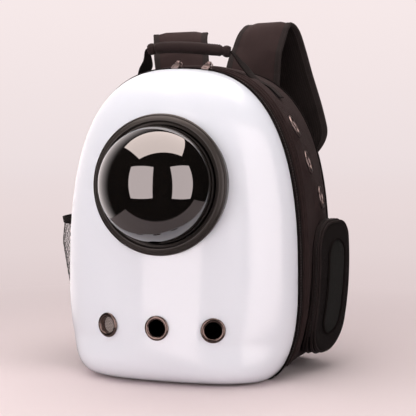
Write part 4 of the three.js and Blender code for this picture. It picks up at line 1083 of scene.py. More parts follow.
pad_cloth = woven(
    "pad_cloth", (0.022, 0.0135, 0.0130), (0.042, 0.0262, 0.0253), 0.8, rough=0.66, sheen=0.05)
web_black = woven("web_black", (0.007, 0.005, 0.0047), (0.020, 0.0146, 0.014), 1.3, depth=0.25, rib=2.4)
grip_cloth = woven(
    "grip_cloth", (0.013, 0.0082, 0.0079), (0.027, 0.0171, 0.0166), 0.8, rough=0.66, sheen=0.05)
grip_path = smooth_path(GRIP_PATH, GRIP_ROWS)
grip_turn = full_turn(GRIP_SIDES)
grip_lap = GRIP_LAP["high"] / (1 + np.exp((GRIP_LAP["turn"] - grip_turn) * GRIP_LAP["sharp"]))
grip_lap = grip_lap * (1 - smoothstep(grip_turn, *GRIP_LAP["fade"]))
grip_sections = []
for share in np.linspace(0, 1, GRIP_ROWS):
    round_share = math.sqrt(math.sin(math.pi * np.clip(share, GRIP_TIP, 1 - GRIP_TIP)))
    swell = GRIP_END + (1 - GRIP_END) * round_share
    from_end = min(share, 1 - share)
    cuff = max(0.0, 1 - from_end / GRIP_CUFF)
    pleats = np.sin(GRIP_GATHER["pleats"] * grip_turn + GRIP_GATHER["twist"] * share)
    gather = cuff * (GRIP_GATHER["high"] * pleats - GRIP_GATHER["drawn"])
    roll = GRIP_ROLL["high"] * bell(from_end, GRIP_ROLL["at"], GRIP_ROLL["wide"])
    tie = GRIP_TIE["deep"] * bell(from_end, GRIP_TIE["at"], GRIP_TIE["wide"])
    sway = np.sin(GRIP_SLACK["waves"] * share + GRIP_SLACK["sway"] * np.sin(grip_turn))
    radius = (GRIP_RADIUS - GRIP_SLIM) * swell + grip_lap * (1 - cuff) + gather + roll - tie
    radius = radius + GRIP_SLACK["high"] * sway
    grip_sections.append(np.stack([radius * np.cos(grip_turn), radius * np.sin(grip_turn)], 1))
grip = sweep("grip", grip_path, (0, 1, 0), np.array(grip_sections))
dress(grip, grip_cloth, "handle_grip")
_, grip_wide, grip_over = path_frames(grip_path, (0, 1, 0))
lap_out = unit(math.cos(GRIP_SEAM["turn"]) * grip_wide + math.sin(GRIP_SEAM["turn"]) * grip_over)
grip_seam = grip_path + lap_out * (GRIP_RADIUS + GRIP_SEAM["lift"])
sewn = slice(GRIP_SEAM["skip"], -GRIP_SEAM["skip"])
stitches("grip_stitches", [(grip_seam[sewn], lap_out[sewn])])

for side, foot in HANDLE_FEET.items():
    foot_x = foot["x"]
    sign = 1 if foot_x > 0 else -1
    foot_z, slope = float(top_z_at(foot_x)), top_slope_at(foot_x)
    out, along = unit([-slope, 0, 1]), unit([1, 0, slope])
    lift = float(gusset_out(HANDLE_FOOT["y"], foot_z)) + GAP + HANDLE_WEB["thick"] / 2 + HANDLE_WEB["lift"]
    seat = np.array([foot_x, HANDLE_FOOT["y"], foot_z]) + out * lift
    grip_end, grip_next = (np.array(GRIP_PATH[i], float) for i in ((0, 1) if sign < 0 else (-1, -2)))
    lead = unit(grip_end - grip_next)
    web_points = [seat + along * sign * HANDLE_FOOT["long"], seat, *np.array(foot["rise"], float),
                  *[grip_end + lead * reach for reach in GRIP_LEAD]]
    web_path = smooth_path(web_points, HANDLE_WEB["rows"])
    web_run = np.linspace(0, 1, HANDLE_WEB["rows"])
    web_turn = foot["turn"] * smoothstep(web_run, *HANDLE_WEB["turn"])
    web_across = np.column_stack([web_turn, np.ones(HANDLE_WEB["rows"]), np.zeros(HANDLE_WEB["rows"])])
    gather = 1 - HANDLE_GATHER["by"] * smoothstep(web_run, *HANDLE_GATHER["run"])
    webbing(f"handle_webbing_{side}", web_path, web_across, HANDLE_WEB, f"handle_web_{side}", gather)
    web_face = web_path + out * HANDLE_BOX["lift"]
    near, far = web_face[HANDLE_BOX["from_row"]], web_face[HANDLE_BOX["to_row"]]
    aside = np.array([0, HANDLE_BOX["half"], 0])
    box_stitches(f"handle_box_{side}", [near - aside, far - aside, far + aside, near + aside], out)

# Shoulder straps
# Foam straps with black cloth outside and ribbed spacer mesh inside, bound all round with tape and
# sewn to the back panel. Each loops over the top and ends in an adjuster and a webbing tail.
STRAP = {"wide": 84, "face": 4.0, "binding": 9.4, "bind_face": 2.1, "groove": 1.55}
STRAP_SECTION = {"edge": 1.6, "least": 0.02, "groove_wide": 0.9, "foam_from": 0.4, "foam_to": 12}
STRAP_END = {"from": 0.88, "wide": 0.42, "power": 2.4, "inset": 0.3}
STRAP_PATHS = {
    "right": [(47, 125, 372), (49, 127, 424), (56, 135, 462), (62.5, 144, 483), (66.5, 152.5, 489),
              (70, 161, 482), (77, 176, 446), (85, 186, 406), (100, 191, 352), (114, 189, 293)],
    "left": [(-60, 125, 372), (-62, 127, 420), (-67, 134, 454), (-70.5, 142, 472), (-73, 151, 477.5),
             (-75.5, 160, 471), (-81, 175, 438), (-87, 185, 400), (-99, 190, 348), (-110, 189, 300)],
}
STRAP_TURN_SHARE = [0.14, 0.24, 0.4, 0.7]
STRAP_TURNS = {"right": [0, -0.22, -0.13, 0], "left": [0, 0.14, -0.06, 0]}
STRAP_TIPS, STRAP_LEVEL = {"right": 0.0, "left": 0.04}, 0.1
STRAP_ROWS, STRAP_COLUMNS, STRAP_SPREAD = 190, 41, 0.9
STRAP_CREASE = {"high": 0.5, "waves": 75, "at": 0.42, "wide": 0.12, "inset": 12}
STRAP_SEAMS = {"insets": (2.1, 7.8), "lift": 0.08, "rows": slice(4, -3)}
ADJUSTER = {"wide": 36, "tall": 24, "thick": 5, "corner": 4, "bevel": 1.1}
ADJUSTER_SLOTS = {"half": (14, 2.4), "corner": 1.2, "middles": (-5.2, 4.6)}
STRAP_WEB = {"wide": 28, "thick": 2, "lead": 14, "bow": 10, "rows": 120}
WEB_ANCHOR = {"x": 122, "z": 44, "lie": 16, "lift": 2.5}
TAIL_BOX = {"half": 10, "low": 2, "high": 16, "lift": 1.12}


def strap_face(inset):
    """Half the strap's thickness at a distance from its edge: binding, sewn groove, then foam."""
    inset = np.asarray(inset, float)
    binding, edge = STRAP["binding"], STRAP_SECTION["edge"]
    arc = 1 - (1 - np.clip(inset, 0, edge) / edge) ** 2
    round_edge = STRAP["bind_face"] * np.sqrt(np.clip(arc, STRAP_SECTION["least"], 1))
    groove = (STRAP["bind_face"] - STRAP["groove"]) * bell(inset, binding, STRAP_SECTION["groove_wide"])
    foam_share = smoothstep(inset, binding + STRAP_SECTION["foam_from"], binding + STRAP_SECTION["foam_to"])
    return round_edge - groove + (STRAP["face"] - STRAP["bind_face"]) * foam_share


ribbed_mesh = woven(
    "ribbed_mesh", (0.006, 0.0045, 0.004), (0.022, 0.0165, 0.0155), 1.1, depth=0.5, rib=3.2, rough=0.8)
strap_tape = woven("strap_tape", (0.018, 0.0140, 0.0134), (0.042, 0.0335, 0.0322), 0.9, rib=1.6)
for side, strap_points in STRAP_PATHS.items():
    sign = 1 if side == "right" else -1
    strap_path = smooth_path(strap_points, STRAP_ROWS)
    strap_run = np.linspace(0, 1, STRAP_ROWS)
    strap_turn = np.interp(strap_run, STRAP_TURN_SHARE, STRAP_TURNS[side])
    strap_across = np.column_stack([np.ones(STRAP_ROWS), strap_turn, np.zeros(STRAP_ROWS)])
    closing = np.clip((strap_run - STRAP_END["from"]) / (1 - STRAP_END["from"]), 0, 1) ** STRAP_END["power"]
    half = STRAP["wide"] / 2 * (1 - (1 - STRAP_END["wide"]) * closing)
    level = bell(strap_run, strap_run[np.argmax(strap_path[:, 2])], STRAP_LEVEL)
    from_end = np.minimum(strap_run, 1 - strap_run) * run_along(strap_path)[-1]
    spread = np.sin(np.linspace(-math.pi / 2, math.pi / 2, STRAP_COLUMNS))
    width = half[:, None] * np.sign(spread) * np.abs(spread) ** STRAP_SPREAD
    inset = np.minimum(half[:, None] - np.abs(width), from_end[:, None] + STRAP_END["inset"])
    face = strap_face(inset)
    creased = STRAP_CREASE["high"] * bell(strap_run, STRAP_CREASE["at"], STRAP_CREASE["wide"])
    ridges = (creased * np.sin(strap_run * STRAP_CREASE["waves"]))[:, None] * (inset > STRAP_CREASE["inset"])
    inside = np.stack([width, face + ridges], 2)[:, ::-1]
    strap_sections = np.concatenate([np.stack([width, -face], 2), inside], 1)
    strap_lie = {"level": level, "tip": STRAP_TIPS[side]}
    strap = sweep(f"strap_pad_{side}", strap_path, strap_across, strap_sections, **strap_lie)
    dress(strap, pad_cloth, f"strap_{side}")
    strap.data.materials.append(ribbed_mesh.material)
    strap.data.materials.append(strap_tape.material)
    columns = 2 * STRAP_COLUMNS
    face_column = np.tile(np.arange(columns), STRAP_ROWS - 1)
    face_row = np.repeat(np.arange(STRAP_ROWS - 1), columns)
    bound = np.concatenate([inset, inset[:, ::-1]], 1) < STRAP["binding"]
    kind = np.where(face_column >= STRAP_COLUMNS, 1, 0)
    kind = np.where(bound[face_row, face_column] & bound[face_row, (face_column + 1) % columns], 2, kind)
    material_index = np.zeros(len(strap.data.polygons), np.int32)
    material_index[: len(kind)] = kind
    strap.data.polygons.foreach_set("material_index", material_index)
    _, strap_wide, strap_over = path_frames(strap_path, strap_across, **strap_lie)
    strap_seams = []
    for edge, over in ((-1, -1), (-1, 1), (1, -1), (1, 1)):
        for from_edge in STRAP_SEAMS["insets"]:
            at = edge * (half - from_edge)
            lift = over * (strap_face(from_edge) + STRAP_SEAMS["lift"])
            line = strap_path + strap_wide * at[:, None] + strap_over * lift
            strap_seams.append((line[STRAP_SEAMS["rows"]], (strap_over * over)[STRAP_SEAMS["rows"]]))
    stitches(f"strap_stitches_{side}", strap_seams)
    end, down = strap_path[-1], unit(strap_path[-1] - strap_path[-2])

    # The adjuster is a black plastic ladder lock: two slots between three bars.
    across = unit(np.array([1.0, 0, 0]) - down * down[0])
    lock_rim = rounded((ADJUSTER["wide"] / 2, ADJUSTER["tall"] / 2), ADJUSTER["corner"])
    slot_rim = rounded(ADJUSTER_SLOTS["half"], ADJUSTER_SLOTS["corner"])
    slots = [(slot_rim + (0, middle))[::-1] for middle in ADJUSTER_SLOTS["middles"]]
    lock = plate(f"ladder_lock_{side}", [lock_rim, *slots], ADJUSTER["thick"], ADJUSTER["bevel"])
    lock_middle = end + down * (GAP + ADJUSTER["tall"] / 2)
    place_points(lock, lock_middle, (across, down, np.cross(across, down)))
    dress(lock, satin_black, f"adjuster_{side}")

    # The tail runs from the adjuster down to the corner of the back panel, where it is sewn flat.
    tail_start = end + down * (ADJUSTER["tall"] + 2 * GAP)
    anchor_y = BACK_Y + GAP + PANEL_THICK + GAP + STRAP_WEB["thick"] / 2
    anchor = np.array([sign * WEB_ANCHOR["x"], anchor_y, WEB_ANCHOR["z"]])
    lie = np.array([0, 0, WEB_ANCHOR["lie"]])
    tail_points = [
        tail_start, tail_start + down * STRAP_WEB["lead"],
        (tail_start + anchor) / 2 + (0, STRAP_WEB["bow"], 0),
        anchor + 2 * lie + (0, WEB_ANCHOR["lift"], 0), anchor + lie, anchor,
    ]
    tail_path = smooth_path(tail_points, STRAP_WEB["rows"])
    webbing(f"strap_tail_{side}", tail_path, (1, 0, 0), STRAP_WEB, f"strap_web_{side}")
    box_x, low, high = TAIL_BOX["half"], TAIL_BOX["low"], TAIL_BOX["high"]
    tail_box = np.array([(-box_x, 0, low), (-box_x, 0, high), (box_x, 0, high), (box_x, 0, low)])
    box_stitches(f"tail_box_{side}", tail_box + anchor + (0, TAIL_BOX["lift"], 0), (0, 1, 0))

# Zip pocket on the right side
# A pouch of dark cloth that stands further out at its back, with welts round its side, a short zip
# over its top and front side, and an oblong net panel on its face inside a line of piping.
POCKET = {"y": 55, "z": 115, "half_long": 45, "half_tall": 92, "corners": (38, 22, 43, 43), "lean": 0.1}
POCKET_FACE = {"x": 189.8, "slope": 0.25, "fall": 0.0009, "fullest_z": 122}
POCKET_EDGE = {"share": 0.78, "width": 0.9}
POCKET_STATIONS, POCKET_ROWS = 220, {"side": 16, "edge": 12, "face": 22, "last": 0.03}
POCKET_SLACK = [(0.8, 30, 21), (0.4, 12, 5)]
POCKET_WALL = {"thick": 1.8, "rows": (12, 27), "inner": 0.965}
POCKET_WELTS, WELT_RADIUS = [(0.16, 1), (0.36, 1), (0.7, 1), (0.93, 0.98)], 1.9
POCKET_SEAMS, SEAM_LEAN = [(0.16, 1.0, 0.25), (0.86, 0.985, 0.3)], 0.4
INSERT = {"y": 55, "z": 116, "half_wide": 22, "half_tall": 64, "thick": 1.2, "lean": 0.15}
INSERT_FACE = {"stations": 160, "round": 0.5, "crown": 0.9, "middle": 0.04}
PIPING_RADIUS, PIPING_SIDES = 1.5, 12
POCKET_ZIP = {"share": 0.52, "wide": 6, "last_turn": 202.5}
POCKET_TEETH = {"count": 190, "half": 1.5, "bow": 0.2, "lift": 1.35, "radius": 0.42}


def pocket_face_x(y, z):
    fall = POCKET_FACE["fall"] * (z - POCKET_FACE["fullest_z"]) ** 2
    return POCKET_FACE["x"] + POCKET_FACE["slope"] * (y - POCKET["y"]) - fall


def corner_loop(half_long, half_tall, corners, count):
    """Even points round a rounded rectangle, with outward directions and the turn in degrees."""
    rows = []
    for quarter, (sy, sz) in enumerate(((1, -1), (1, 1), (-1, 1), (-1, -1))):
        corner = corners[quarter]
        for turn in np.linspace(quarter * 90 - 90, quarter * 90, 25):
            c, s = math.cos(math.radians(turn)), math.sin(math.radians(turn))
            y, z = sy * (half_long - corner) + corner * c, sz * (half_tall - corner) + corner * s
            rows.append((y, z, turn))
    rows.append((*rows[0][:2], 270))
    rows = np.array(rows)
    run = run_along(rows[:, :2])
    at = np.linspace(0, run[-1], count, endpoint=False)
    y, z, turn = (np.interp(at, run, column) for column in rows.T)
    return y, z, np.cos(np.radians(turn)), np.sin(np.radians(turn)), turn


def pocket_ring(share, width, swell=0.0):
    """A ring of the pouch: its share of the way to the face, its width and its slack."""
    y, z = POCKET["y"] + edge_y * width, POCKET["z"] + edge_z * width
    x = base_x + (pocket_face_x(y, z) - base_x) * share
    ring = np.stack([x, y, z], 1)
    slack = swell * rumple(ring, POCKET_SLACK)
    return ring + np.column_stack([0.5 * slack, edge_out_y * slack, edge_out_z * slack])


edge_y, edge_z, edge_out_y, edge_out_z, edge_turn = corner_loop(
    POCKET["half_long"], POCKET["half_tall"], POCKET["corners"], POCKET_STATIONS)
edge_y += POCKET["lean"] * edge_z
base_x = gusset_side_x(POCKET["y"] + edge_y, POCKET["z"] + edge_z) + GAP
pocket_cloth = woven("pocket_cloth", (0.0022, 0.0013, 0.00125), (0.006, 0.0037, 0.0035), 0.75, rough=0.66)
# The welts' cloth is several times lighter than the pocket's: a painted highlight along their ridges.
welt_highlight_cloth = woven("welt_highlight_cloth", (0.009, 0.0062, 0.006), (0.02, 0.0138, 0.0134), 0.75, rough=0.5)
edge_share, edge_width = POCKET_EDGE["share"], POCKET_EDGE["width"]
pocket_rows = []
for share in np.linspace(0, edge_share, POCKET_ROWS["side"]):
    pocket_rows.append(pocket_ring(share, 1.0, math.sin(math.pi * share / edge_share)))
for bend in np.linspace(0, math.pi / 2, POCKET_ROWS["edge"])[1:]:
    share = edge_share + (1 - edge_share) * math.sin(bend)
    pocket_rows.append(pocket_ring(share, 1 - (1 - edge_width) * (1 - math.cos(bend))))
for width in np.linspace(edge_width, POCKET_ROWS["last"], POCKET_ROWS["face"])[1:]:
    pocket_rows.append(pocket_ring(1.0, width))
pouch_wall = np.array(pocket_rows)
pouch_inner = pouch_wall.copy()
wall_share = smoothstep(np.arange(len(pocket_rows)), *POCKET_WALL["rows"])
pouch_inner[..., 0] -= POCKET_WALL["thick"] * wall_share[:, None]
pouch_middle = np.array([POCKET["y"], POCKET["z"]])
pouch_inner[..., 1:] = pouch_middle + (pouch_wall[..., 1:] - pouch_middle) * POCKET_WALL["inner"]
pouch = skin("pocket_pouch", np.concatenate([pouch_wall[::-1], pouch_inner]), loop_cols=True, caps=True)
sharpen(pouch, 60)
dress(pouch, pocket_cloth, "side_pocket")
welts = [pocket_ring(share, width) for share, width in POCKET_WELTS]
welt_runs = [(np.concatenate([welt, welt[:2]]), (1, 0, 0)) for welt in welts]
dress(tubes("pocket_welts", welt_runs, WELT_RADIUS, 8), welt_highlight_cloth, None)

panel_y, panel_z, panel_out_y, panel_out_z, _ = corner_loop(
    INSERT["half_wide"], INSERT["half_tall"], (INSERT["half_wide"],) * 4, INSERT_FACE["stations"])


def on_pocket_face(out, lift, shrink=1.0):
    """A ring on the pocket's face: the panel's outline moved out, lifted off the face or drawn in."""
    z = INSERT["z"] + (panel_z + panel_out_z * out) * shrink
    y = INSERT["y"] + (panel_y + panel_out_y * out) * shrink + INSERT["lean"] * (z - INSERT["z"])
    return np.stack([pocket_face_x(y, z) + lift, y, z], 1)


insert_top, insert_round, insert_middle = GAP + INSERT["thick"], INSERT_FACE["round"], INSERT_FACE["middle"]
insert_rows = [on_pocket_face(0, GAP, share) for share in (insert_middle, 0.5, 1)]
insert_rows += [on_pocket_face(0, insert_top - insert_round), on_pocket_face(-insert_round, insert_top)]
for share in np.linspace(0.95, insert_middle, 14):
    crown = INSERT_FACE["crown"] * (1 - share**2)
    insert_rows.append(on_pocket_face(-insert_round, insert_top + crown, share))
insert = skin("pocket_panel", np.array(insert_rows), loop_cols=True, caps=True)
pocket_net = spacer_mesh("pocket_net", 620, (0.013, 0.0132, 0.0122), (0.0035, 0.0035, 0.0032), 0.3)
dress(insert, pocket_net, "pocket_insert")
piping_rings = []
for turn in full_turn(PIPING_SIDES):
    cord_out, cord_lift = PIPING_RADIUS * (1 + math.cos(turn)), PIPING_RADIUS * (1 + math.sin(turn))
    piping_rings.append(on_pocket_face(GAP + cord_out, GAP + cord_lift))
piping = skin("pocket_cord", np.array(piping_rings).swapaxes(0, 1), loop_rows=True, loop_cols=True)
dress(piping, tape_black, "pocket_piping")

zipped = (edge_turn >= 0) & (edge_turn <= POCKET_ZIP["last_turn"])
zip_y, zip_z = POCKET["y"] + edge_y[zipped], POCKET["z"] + edge_z[zipped]
zip_out = np.column_stack([np.zeros(zipped.sum()), edge_out_y[zipped], edge_out_z[zipped]])
zip_middle = base_x[zipped] + (pocket_face_x(zip_y, zip_z) - base_x[zipped]) * POCKET_ZIP["share"]


def along_zip(across, lift):
    return np.stack([zip_middle + across, zip_y, zip_z], 1) + zip_out * lift


half_zip = POCKET_ZIP["wide"] / 2
flap_section = [(-half_zip, GAP), (-half_zip, 0.9), (-half_zip + 0.5, 1.2), (-1.2, 1.3), (0, 1.0),
                (1.2, 1.3), (half_zip - 0.5, 1.2), (half_zip, 0.9), (half_zip, GAP)]
flap_grid = np.array([along_zip(across, lift) for across, lift in flap_section]).swapaxes(0, 1)
flap = skin("pocket_zip_tape", flap_grid, loop_cols=True, caps=True)
dress(flap, tape_black, "pocket_zip")
teeth = resample_with(along_zip(0, POCKET_TEETH["lift"]), zip_out, POCKET_TEETH["count"])
half_tooth = np.array([POCKET_TEETH["half"], 0, 0])
bars = [(np.stack([p - half_tooth, p + out * POCKET_TEETH["bow"], p + half_tooth]), out)
        for p, out in zip(teeth[:, :3], teeth[:, 3:])]
dress(tubes("pocket_zip_teeth", bars, POCKET_TEETH["radius"], 5), coil_nylon, None)
seam_out = unit(np.column_stack([np.full(POCKET_STATIONS, SEAM_LEAN), edge_out_y, edge_out_z]))
closed = [*range(POCKET_STATIONS), 0]
pocket_seams = []
for share, width, lift in POCKET_SEAMS:
    pocket_seam = pocket_ring(share, width) + seam_out * lift
    pocket_seams.append((pocket_seam[closed], seam_out[closed]))
stitches("pocket_stitches", pocket_seams)

# Net pocket on the left side
# A pouch of knotted black net on a corded edge, open at the top under an elastic band that draws
# its mouth in.
NET = {"front_y": -8, "back_y": 104, "bottom_z": 24, "top_z": 198, "power": 3.4, "sink": 0.6, "middle": 0.8}
NET_Z, NET_BULGE = [24, 40, 75, 120, 170, 198, 215], [0, 12, 24, 36, 46, 44, 49]
NET_GIRTH = {"z": 150.0, "steps": 800}
NET_CORD = {"radius": 0.3, "pitch": 6.8, "slant": 0.62, "wave": 0.3, "steps": 70, "end": 0.5}
NET_FACING = (-1, 0.13, 0.2)
NET_HEM = {"radius": 1.1, "share": 0.004, "up": 1, "lift": 1.6, "steps": 60, "rows": 260}
NET_BAND = {"from": 198, "to": 212, "thick": 2.4, "sag": 5, "corner": 0.07, "rows": 260}
NET_PLEATS = {"high": 0.28, "waves": 150, "fade": 0.3}


def net_point(share, z, lift):
    """A point of the net's surface: share from front to back, height, and distance out of it."""
    y = NET["front_y"] + (NET["back_y"] - NET["front_y"]) * share
    belly = np.sqrt(np.clip(1 - np.abs(2 * share - 1) ** NET["power"], 0, 1))
    bulge = np.interp(z, NET_Z, NET_BULGE) * belly
    return np.stack([NET["sink"] - gusset_side_x(y, z) - lift - bulge, y, z], -1)


girth_share = np.linspace(0, 1, NET_GIRTH["steps"])
girth_run = run_along(net_point(girth_share, np.full(NET_GIRTH["steps"], NET_GIRTH["z"]), NET["middle"]))
net_long, net_tall = girth_run[-1], NET["top_z"] - NET["bottom_z"]
net_z = np.linspace(NET["bottom_z"], NET["top_z"], NET_CORD["steps"])
net_lean = net_tall * NET_CORD["slant"]
net_runs = []
for way in (-1, 1):
    for start in np.arange(-net_lean, net_long + net_lean, NET_CORD["pitch"]):
        run = start + way * NET_CORD["slant"] * (net_z - NET["bottom_z"])
        kept = (run > NET_CORD["end"]) & (run < net_long - NET_CORD["end"])
        if kept.sum() < 3:
            continue
        share = np.interp(run[kept], girth_run, girth_share)
        wave = way * NET_CORD["wave"] * np.cos(math.pi * run[kept] / NET_CORD["pitch"])
        net_runs.append((net_point(share, net_z[kept], NET["middle"] + wave), NET_FACING))
net_black = Finish("net_black", specular_ior_level=0.4, sheen_weight=0.2)
net_black.paint(net_black.grain(120), (0.009, 0.007, 0.0065), (0.022, 0.017, 0.016), 0.55, 0.2, 400)
dress(tubes("net_cords", net_runs, NET_CORD["radius"], 4), net_black, "net_pocket")

hem_steps, hem_low, hem_foot = NET_HEM["steps"], NET_HEM["share"], NET["bottom_z"] + NET_HEM["up"]
hem_up = np.linspace(hem_foot, NET["top_z"], hem_steps)
hem_across = np.linspace(hem_low, 1 - hem_low, hem_steps)[1:-1]
hem_share = np.concatenate([np.full(hem_steps, hem_low), hem_across, np.full(hem_steps, 1 - hem_low)])
hem_z = np.concatenate([hem_up[::-1], np.full(len(hem_across), hem_foot), hem_up])
hem_path = resample(net_point(hem_share, hem_z, NET_HEM["lift"]), NET_HEM["rows"])
dress(tubes("net_hem", [(hem_path, (-1, 0, 0))], NET_HEM["radius"], 10), tape_black, None)

band_run = np.linspace(0, 1, NET_BAND["rows"])
band_share = np.interp(band_run * net_long, girth_run, girth_share)
low, high, thick = NET_BAND["from"], NET_BAND["to"], NET_BAND["thick"]
middle = (low + high) / 2
pleat_fade = np.sin(math.pi * band_run).clip(0) ** NET_PLEATS["fade"]
pleats = NET_PLEATS["high"] * np.sin(NET_PLEATS["waves"] * band_run) * pleat_fade
band_section = [(low, 0.5), (low, 1.7), (low + 0.8, thick), (middle, thick - 0.2),
                (high - 0.8, thick), (high, 1.7), (high, 0.5), (middle, 0.3)]
band_sag = NET_BAND["sag"] * np.clip(np.minimum(band_share, 1 - band_share) / NET_BAND["corner"], 0, 1)
band_rows = [net_point(band_share, z - band_sag * (z - low) / (high - low), lift + pleats)
             for z, lift in band_section]
elastic = woven("elastic", (0.005, 0.0037, 0.0035), (0.013, 0.0097, 0.0092), 0.9, depth=0.25, rib=1.5)
band = skin("net_elastic", np.array(band_rows).swapaxes(0, 1), loop_cols=True, caps=True)
dress(band, elastic, "net_band")

# Studio
# A pale pinkish table that runs into the backdrop, two large soft boxes beside the camera, one
# overhead and a weak fill from the left, and the camera at the photograph's angle.
CAMERA = {"place": (0.5589, -1.6266, 0.3561), "target": (0.03406, -0.04073, 0.22907), "lens": 106.27}
TABLE_TURN = math.radians(18.5)
TABLE = {"front": 0.265, "right": 0.63, "left": 0.385, "edge": 0.02}
BACKDROP_LOW, BACKDROP_HIGH, BACKDROP_RISE = (0.845, 0.745, 0.75), (0.925, 0.815, 0.815), (-0.033, 0.0855)
FLOOR_FADE = [(0.0, (0.716, 0.60, 0.60)), (0.09, (0.73, 0.615, 0.615)), (0.17, (0.775, 0.665, 0.665)),
              (0.32, (0.806, 0.694, 0.694)), (0.69, (0.83, 0.73, 0.735)), (1.0, BACKDROP_LOW)]
FLOOR_LIT, FLOOR_SHADE_IN_REFLECTIONS, FLOOR_FAR = (0.765, 0.665, 0.668), (0.30, 0.255, 0.255), (0.3, 0.9)
FLOOR_RINGS, FLOOR_SIDES, FLOOR_Z = (60, 300, 900, 2400, 9000), 96, -0.4
WALL = {"way": (-0.6, 0.8, 0.0), "from": 0.55, "to": 1.0, "glow": 1.7, "power": 1.5, "least": 0.008}
WALL_ASIDE = (0.25, 0.6)
LIGHT_TINT, WALL_TINT = (1, 0.955, 0.95), (0.9, 0.80, 0.79, 1)
BOXES = [
    {"name": "box_left", "turn": -12.9, "rise": 7, "face": -4, "roll": 1, "away": 1.8, "size": (1.58, 2.06),
     "glow": 2.6, "light": 2.7, "tint": (1, 0.855, 0.845)},
    {"name": "box_right", "turn": 72.3, "rise": 6, "face": 60, "roll": -1, "away": 1.8,
     "size": (1.42, 1.98), "glow": 2.5, "light": 2.3, "tint": (1, 0.855, 0.845)},
    {"name": "box_over", "turn": 32.5, "rise": 90, "shift": (0.0, 0.13), "away": 1.2, "size": (1.87, 1.37),
     "glow": 3.4, "light": 2.8, "tint": (1, 0.843, 0.79)},
    {"name": "fill_left", "turn": -78, "rise": 12, "face": -70, "roll": 0, "away": 1.8, "size": (1.6, 2.0),
     "light": 1.1},
]


def heading_of(turn, rise):
    return Vector((math.sin(turn) * math.cos(rise), -math.cos(turn) * math.cos(rise), math.sin(rise)))


# Each box is two lamps: one that only reflections see, and one that only lights.
for box in BOXES:
    turn, rise = math.radians(box["turn"]), math.radians(box["rise"])
    place = Vector(dome_centre * MM) + heading_of(turn, rise) * box["away"]
    if "shift" in box:
        place += Quaternion((0, 0, 1), turn) @ Vector((*box["shift"], 0))
        facing = (0, 0, turn)
    else:
        roll = Quaternion((0, 0, 1), math.radians(box["roll"]))
        away = heading_of(math.radians(box["face"]), rise)
        facing = (away.to_track_quat("Z", "Y") @ roll).to_euler()
    for kind, unseen in (("glow", "visible_diffuse"), ("light", "visible_glossy")):
        if kind not in box:
            continue
        lamp = bpy.data.lights.new(f"{box['name']}_{kind}", "AREA")
        lamp.shape, lamp.size, lamp.size_y = "RECTANGLE", *box["size"]
        lamp.energy = box[kind] * math.pi * box["size"][0] * box["size"][1]
        lamp.color = box["tint"] if kind == "glow" else LIGHT_TINT
        lamp.cycles.use_multiple_importance_sampling = kind == "glow"
        holder = in_scene(lamp.name, lamp)
        holder.location, holder.rotation_euler = place, facing
        setattr(holder, unseen, False)

# The camera sees the backdrop, and reflections see a dim room with a paler wall behind.
world = bpy.data.worlds.new("studio")
world.use_nodes = True
bpy.context.scene.world = world
sky = Nodes(world.node_tree)
sky.tree.nodes.clear()
heading = sky.node("ShaderNodeTexCoord")
sky_x, _, sky_rise = sky.split(heading)
backdrop = sky.mix(sky.ramp(sky_rise, *BACKDROP_RISE), BACKDROP_LOW, BACKDROP_HIGH)
pale = sky.node("ShaderNodeBackground", {}, {0: backdrop, 1: 1.0})
behind = sky.node("ShaderNodeVectorMath", {"operation": "DOT_PRODUCT"}, {0: heading, 1: WALL["way"]}, out=1)
wall = sky.ramp(behind, WALL["from"], WALL["to"]) ** WALL["power"]
aside = 0.5 + 0.5 * sky.ramp(-1 * sky_x, *WALL_ASIDE, smooth=True)
dim = sky.node("ShaderNodeBackground", {}, {0: WALL_TINT, 1: WALL["least"] + WALL["glow"] * wall * aside})
seen = sky.node("ShaderNodeLightPath")
room = sky.node("ShaderNodeMixShader", {}, {0: seen, 1: dim, 2: pale})
sky.node("ShaderNodeOutputWorld", {}, {0: room}, out=None)
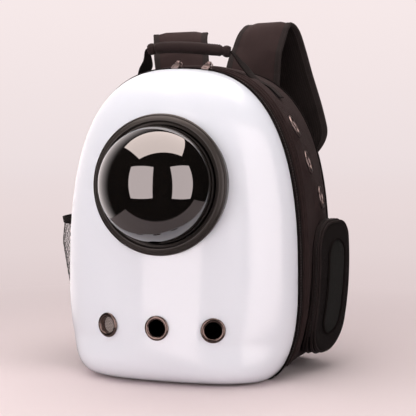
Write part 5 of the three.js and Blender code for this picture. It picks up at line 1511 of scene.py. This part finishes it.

# The floor fades into the backdrop, and reflections see it darker, a painted shade, and cut off at the
# table's edges.
floor_turn = full_turn(FLOOR_SIDES)
floor_circle = np.stack([np.cos(floor_turn), np.sin(floor_turn), np.zeros(FLOOR_SIDES)], 1)
floor_rings = [floor_circle * radius + (0, 0, FLOOR_Z) for radius in FLOOR_RINGS]
floor = skin("floor", np.array(floor_rings), loop_cols=True)
floor_cap = new_piece("floor_middle", floor_rings[0], [list(range(FLOOR_SIDES))])
pale_floor = Finish("pale_floor", roughness=0.85, specular_ior_level=0.2)
rays = pale_floor.node("ShaderNodeLightPath", out=None)
camera_ray, glossy_ray = rays[0], rays[3]
# Reflections see the floor in a darker colour: painted shade.
pale_floor.set({"Base Color": pale_floor.mix(glossy_ray, FLOOR_LIT, FLOOR_SHADE_IN_REFLECTIONS)})
spot_x, spot_y, _ = pale_floor.split(pale_floor.node("ShaderNodeNewGeometry"))
spot_far = (spot_x * spot_x + spot_y * spot_y) ** 0.5
to_front = spot_x * math.sin(TABLE_TURN) - spot_y * math.cos(TABLE_TURN)
to_right = spot_x * math.cos(TABLE_TURN) + spot_y * math.sin(TABLE_TURN)
past_edge = 0.0
for edge, distance in (("front", to_front), ("right", to_right), ("left", -1 * to_right)):
    past = pale_floor.ramp(distance, TABLE[edge], TABLE[edge] + TABLE["edge"])
    past_edge = pale_floor.math("MAXIMUM", past, past_edge)
# Far from the bag the camera sees the floor as a painted glow, graded from the lit floor's colour into the
# backdrop's.
fade = pale_floor.tree.nodes.new("ShaderNodeValToRGB")
while len(fade.color_ramp.elements) < len(FLOOR_FADE):
    fade.color_ramp.elements.new(0.5)
for stop, (place, colour) in zip(fade.color_ramp.elements, FLOOR_FADE):
    stop.position, stop.color = place, (*colour, 1)
pale_floor.feed(fade.inputs[0], spot_far * (1 / (FLOOR_RINGS[-1] * MM)))
faded = pale_floor.node("ShaderNodeEmission", {}, {0: Shade(pale_floor, fade.outputs[0]), 1: 1.0})
far_seen = pale_floor.ramp(spot_far, *FLOOR_FAR, smooth=True) * camera_ray
lit_floor = Shade(pale_floor, pale_floor.shader.outputs[0])
floor_shade = pale_floor.node("ShaderNodeMixShader", {}, {0: far_seen, 1: lit_floor, 2: faded})
clear = pale_floor.node("ShaderNodeBsdfTransparent")
cut_off = past_edge * glossy_ray
floor_shade = pale_floor.node("ShaderNodeMixShader", {}, {0: cut_off, 1: floor_shade, 2: clear})
pale_floor.feed(pale_floor.tree.nodes["Material Output"].inputs[0], floor_shade)
for part in (floor, floor_cap):
    part.data.materials.append(pale_floor.material)

camera_data = bpy.data.cameras.new("camera")
camera_data.lens, camera_data.sensor_width = CAMERA["lens"], 36
camera_data.clip_end = 50
camera = in_scene("camera", camera_data)
camera.location = CAMERA["place"]
camera.rotation_euler = (Vector(CAMERA["target"]) - camera.location).to_track_quat("-Z", "Y").to_euler()
bpy.context.scene.camera = camera
bpy.context.scene.view_settings.view_transform = "Standard"
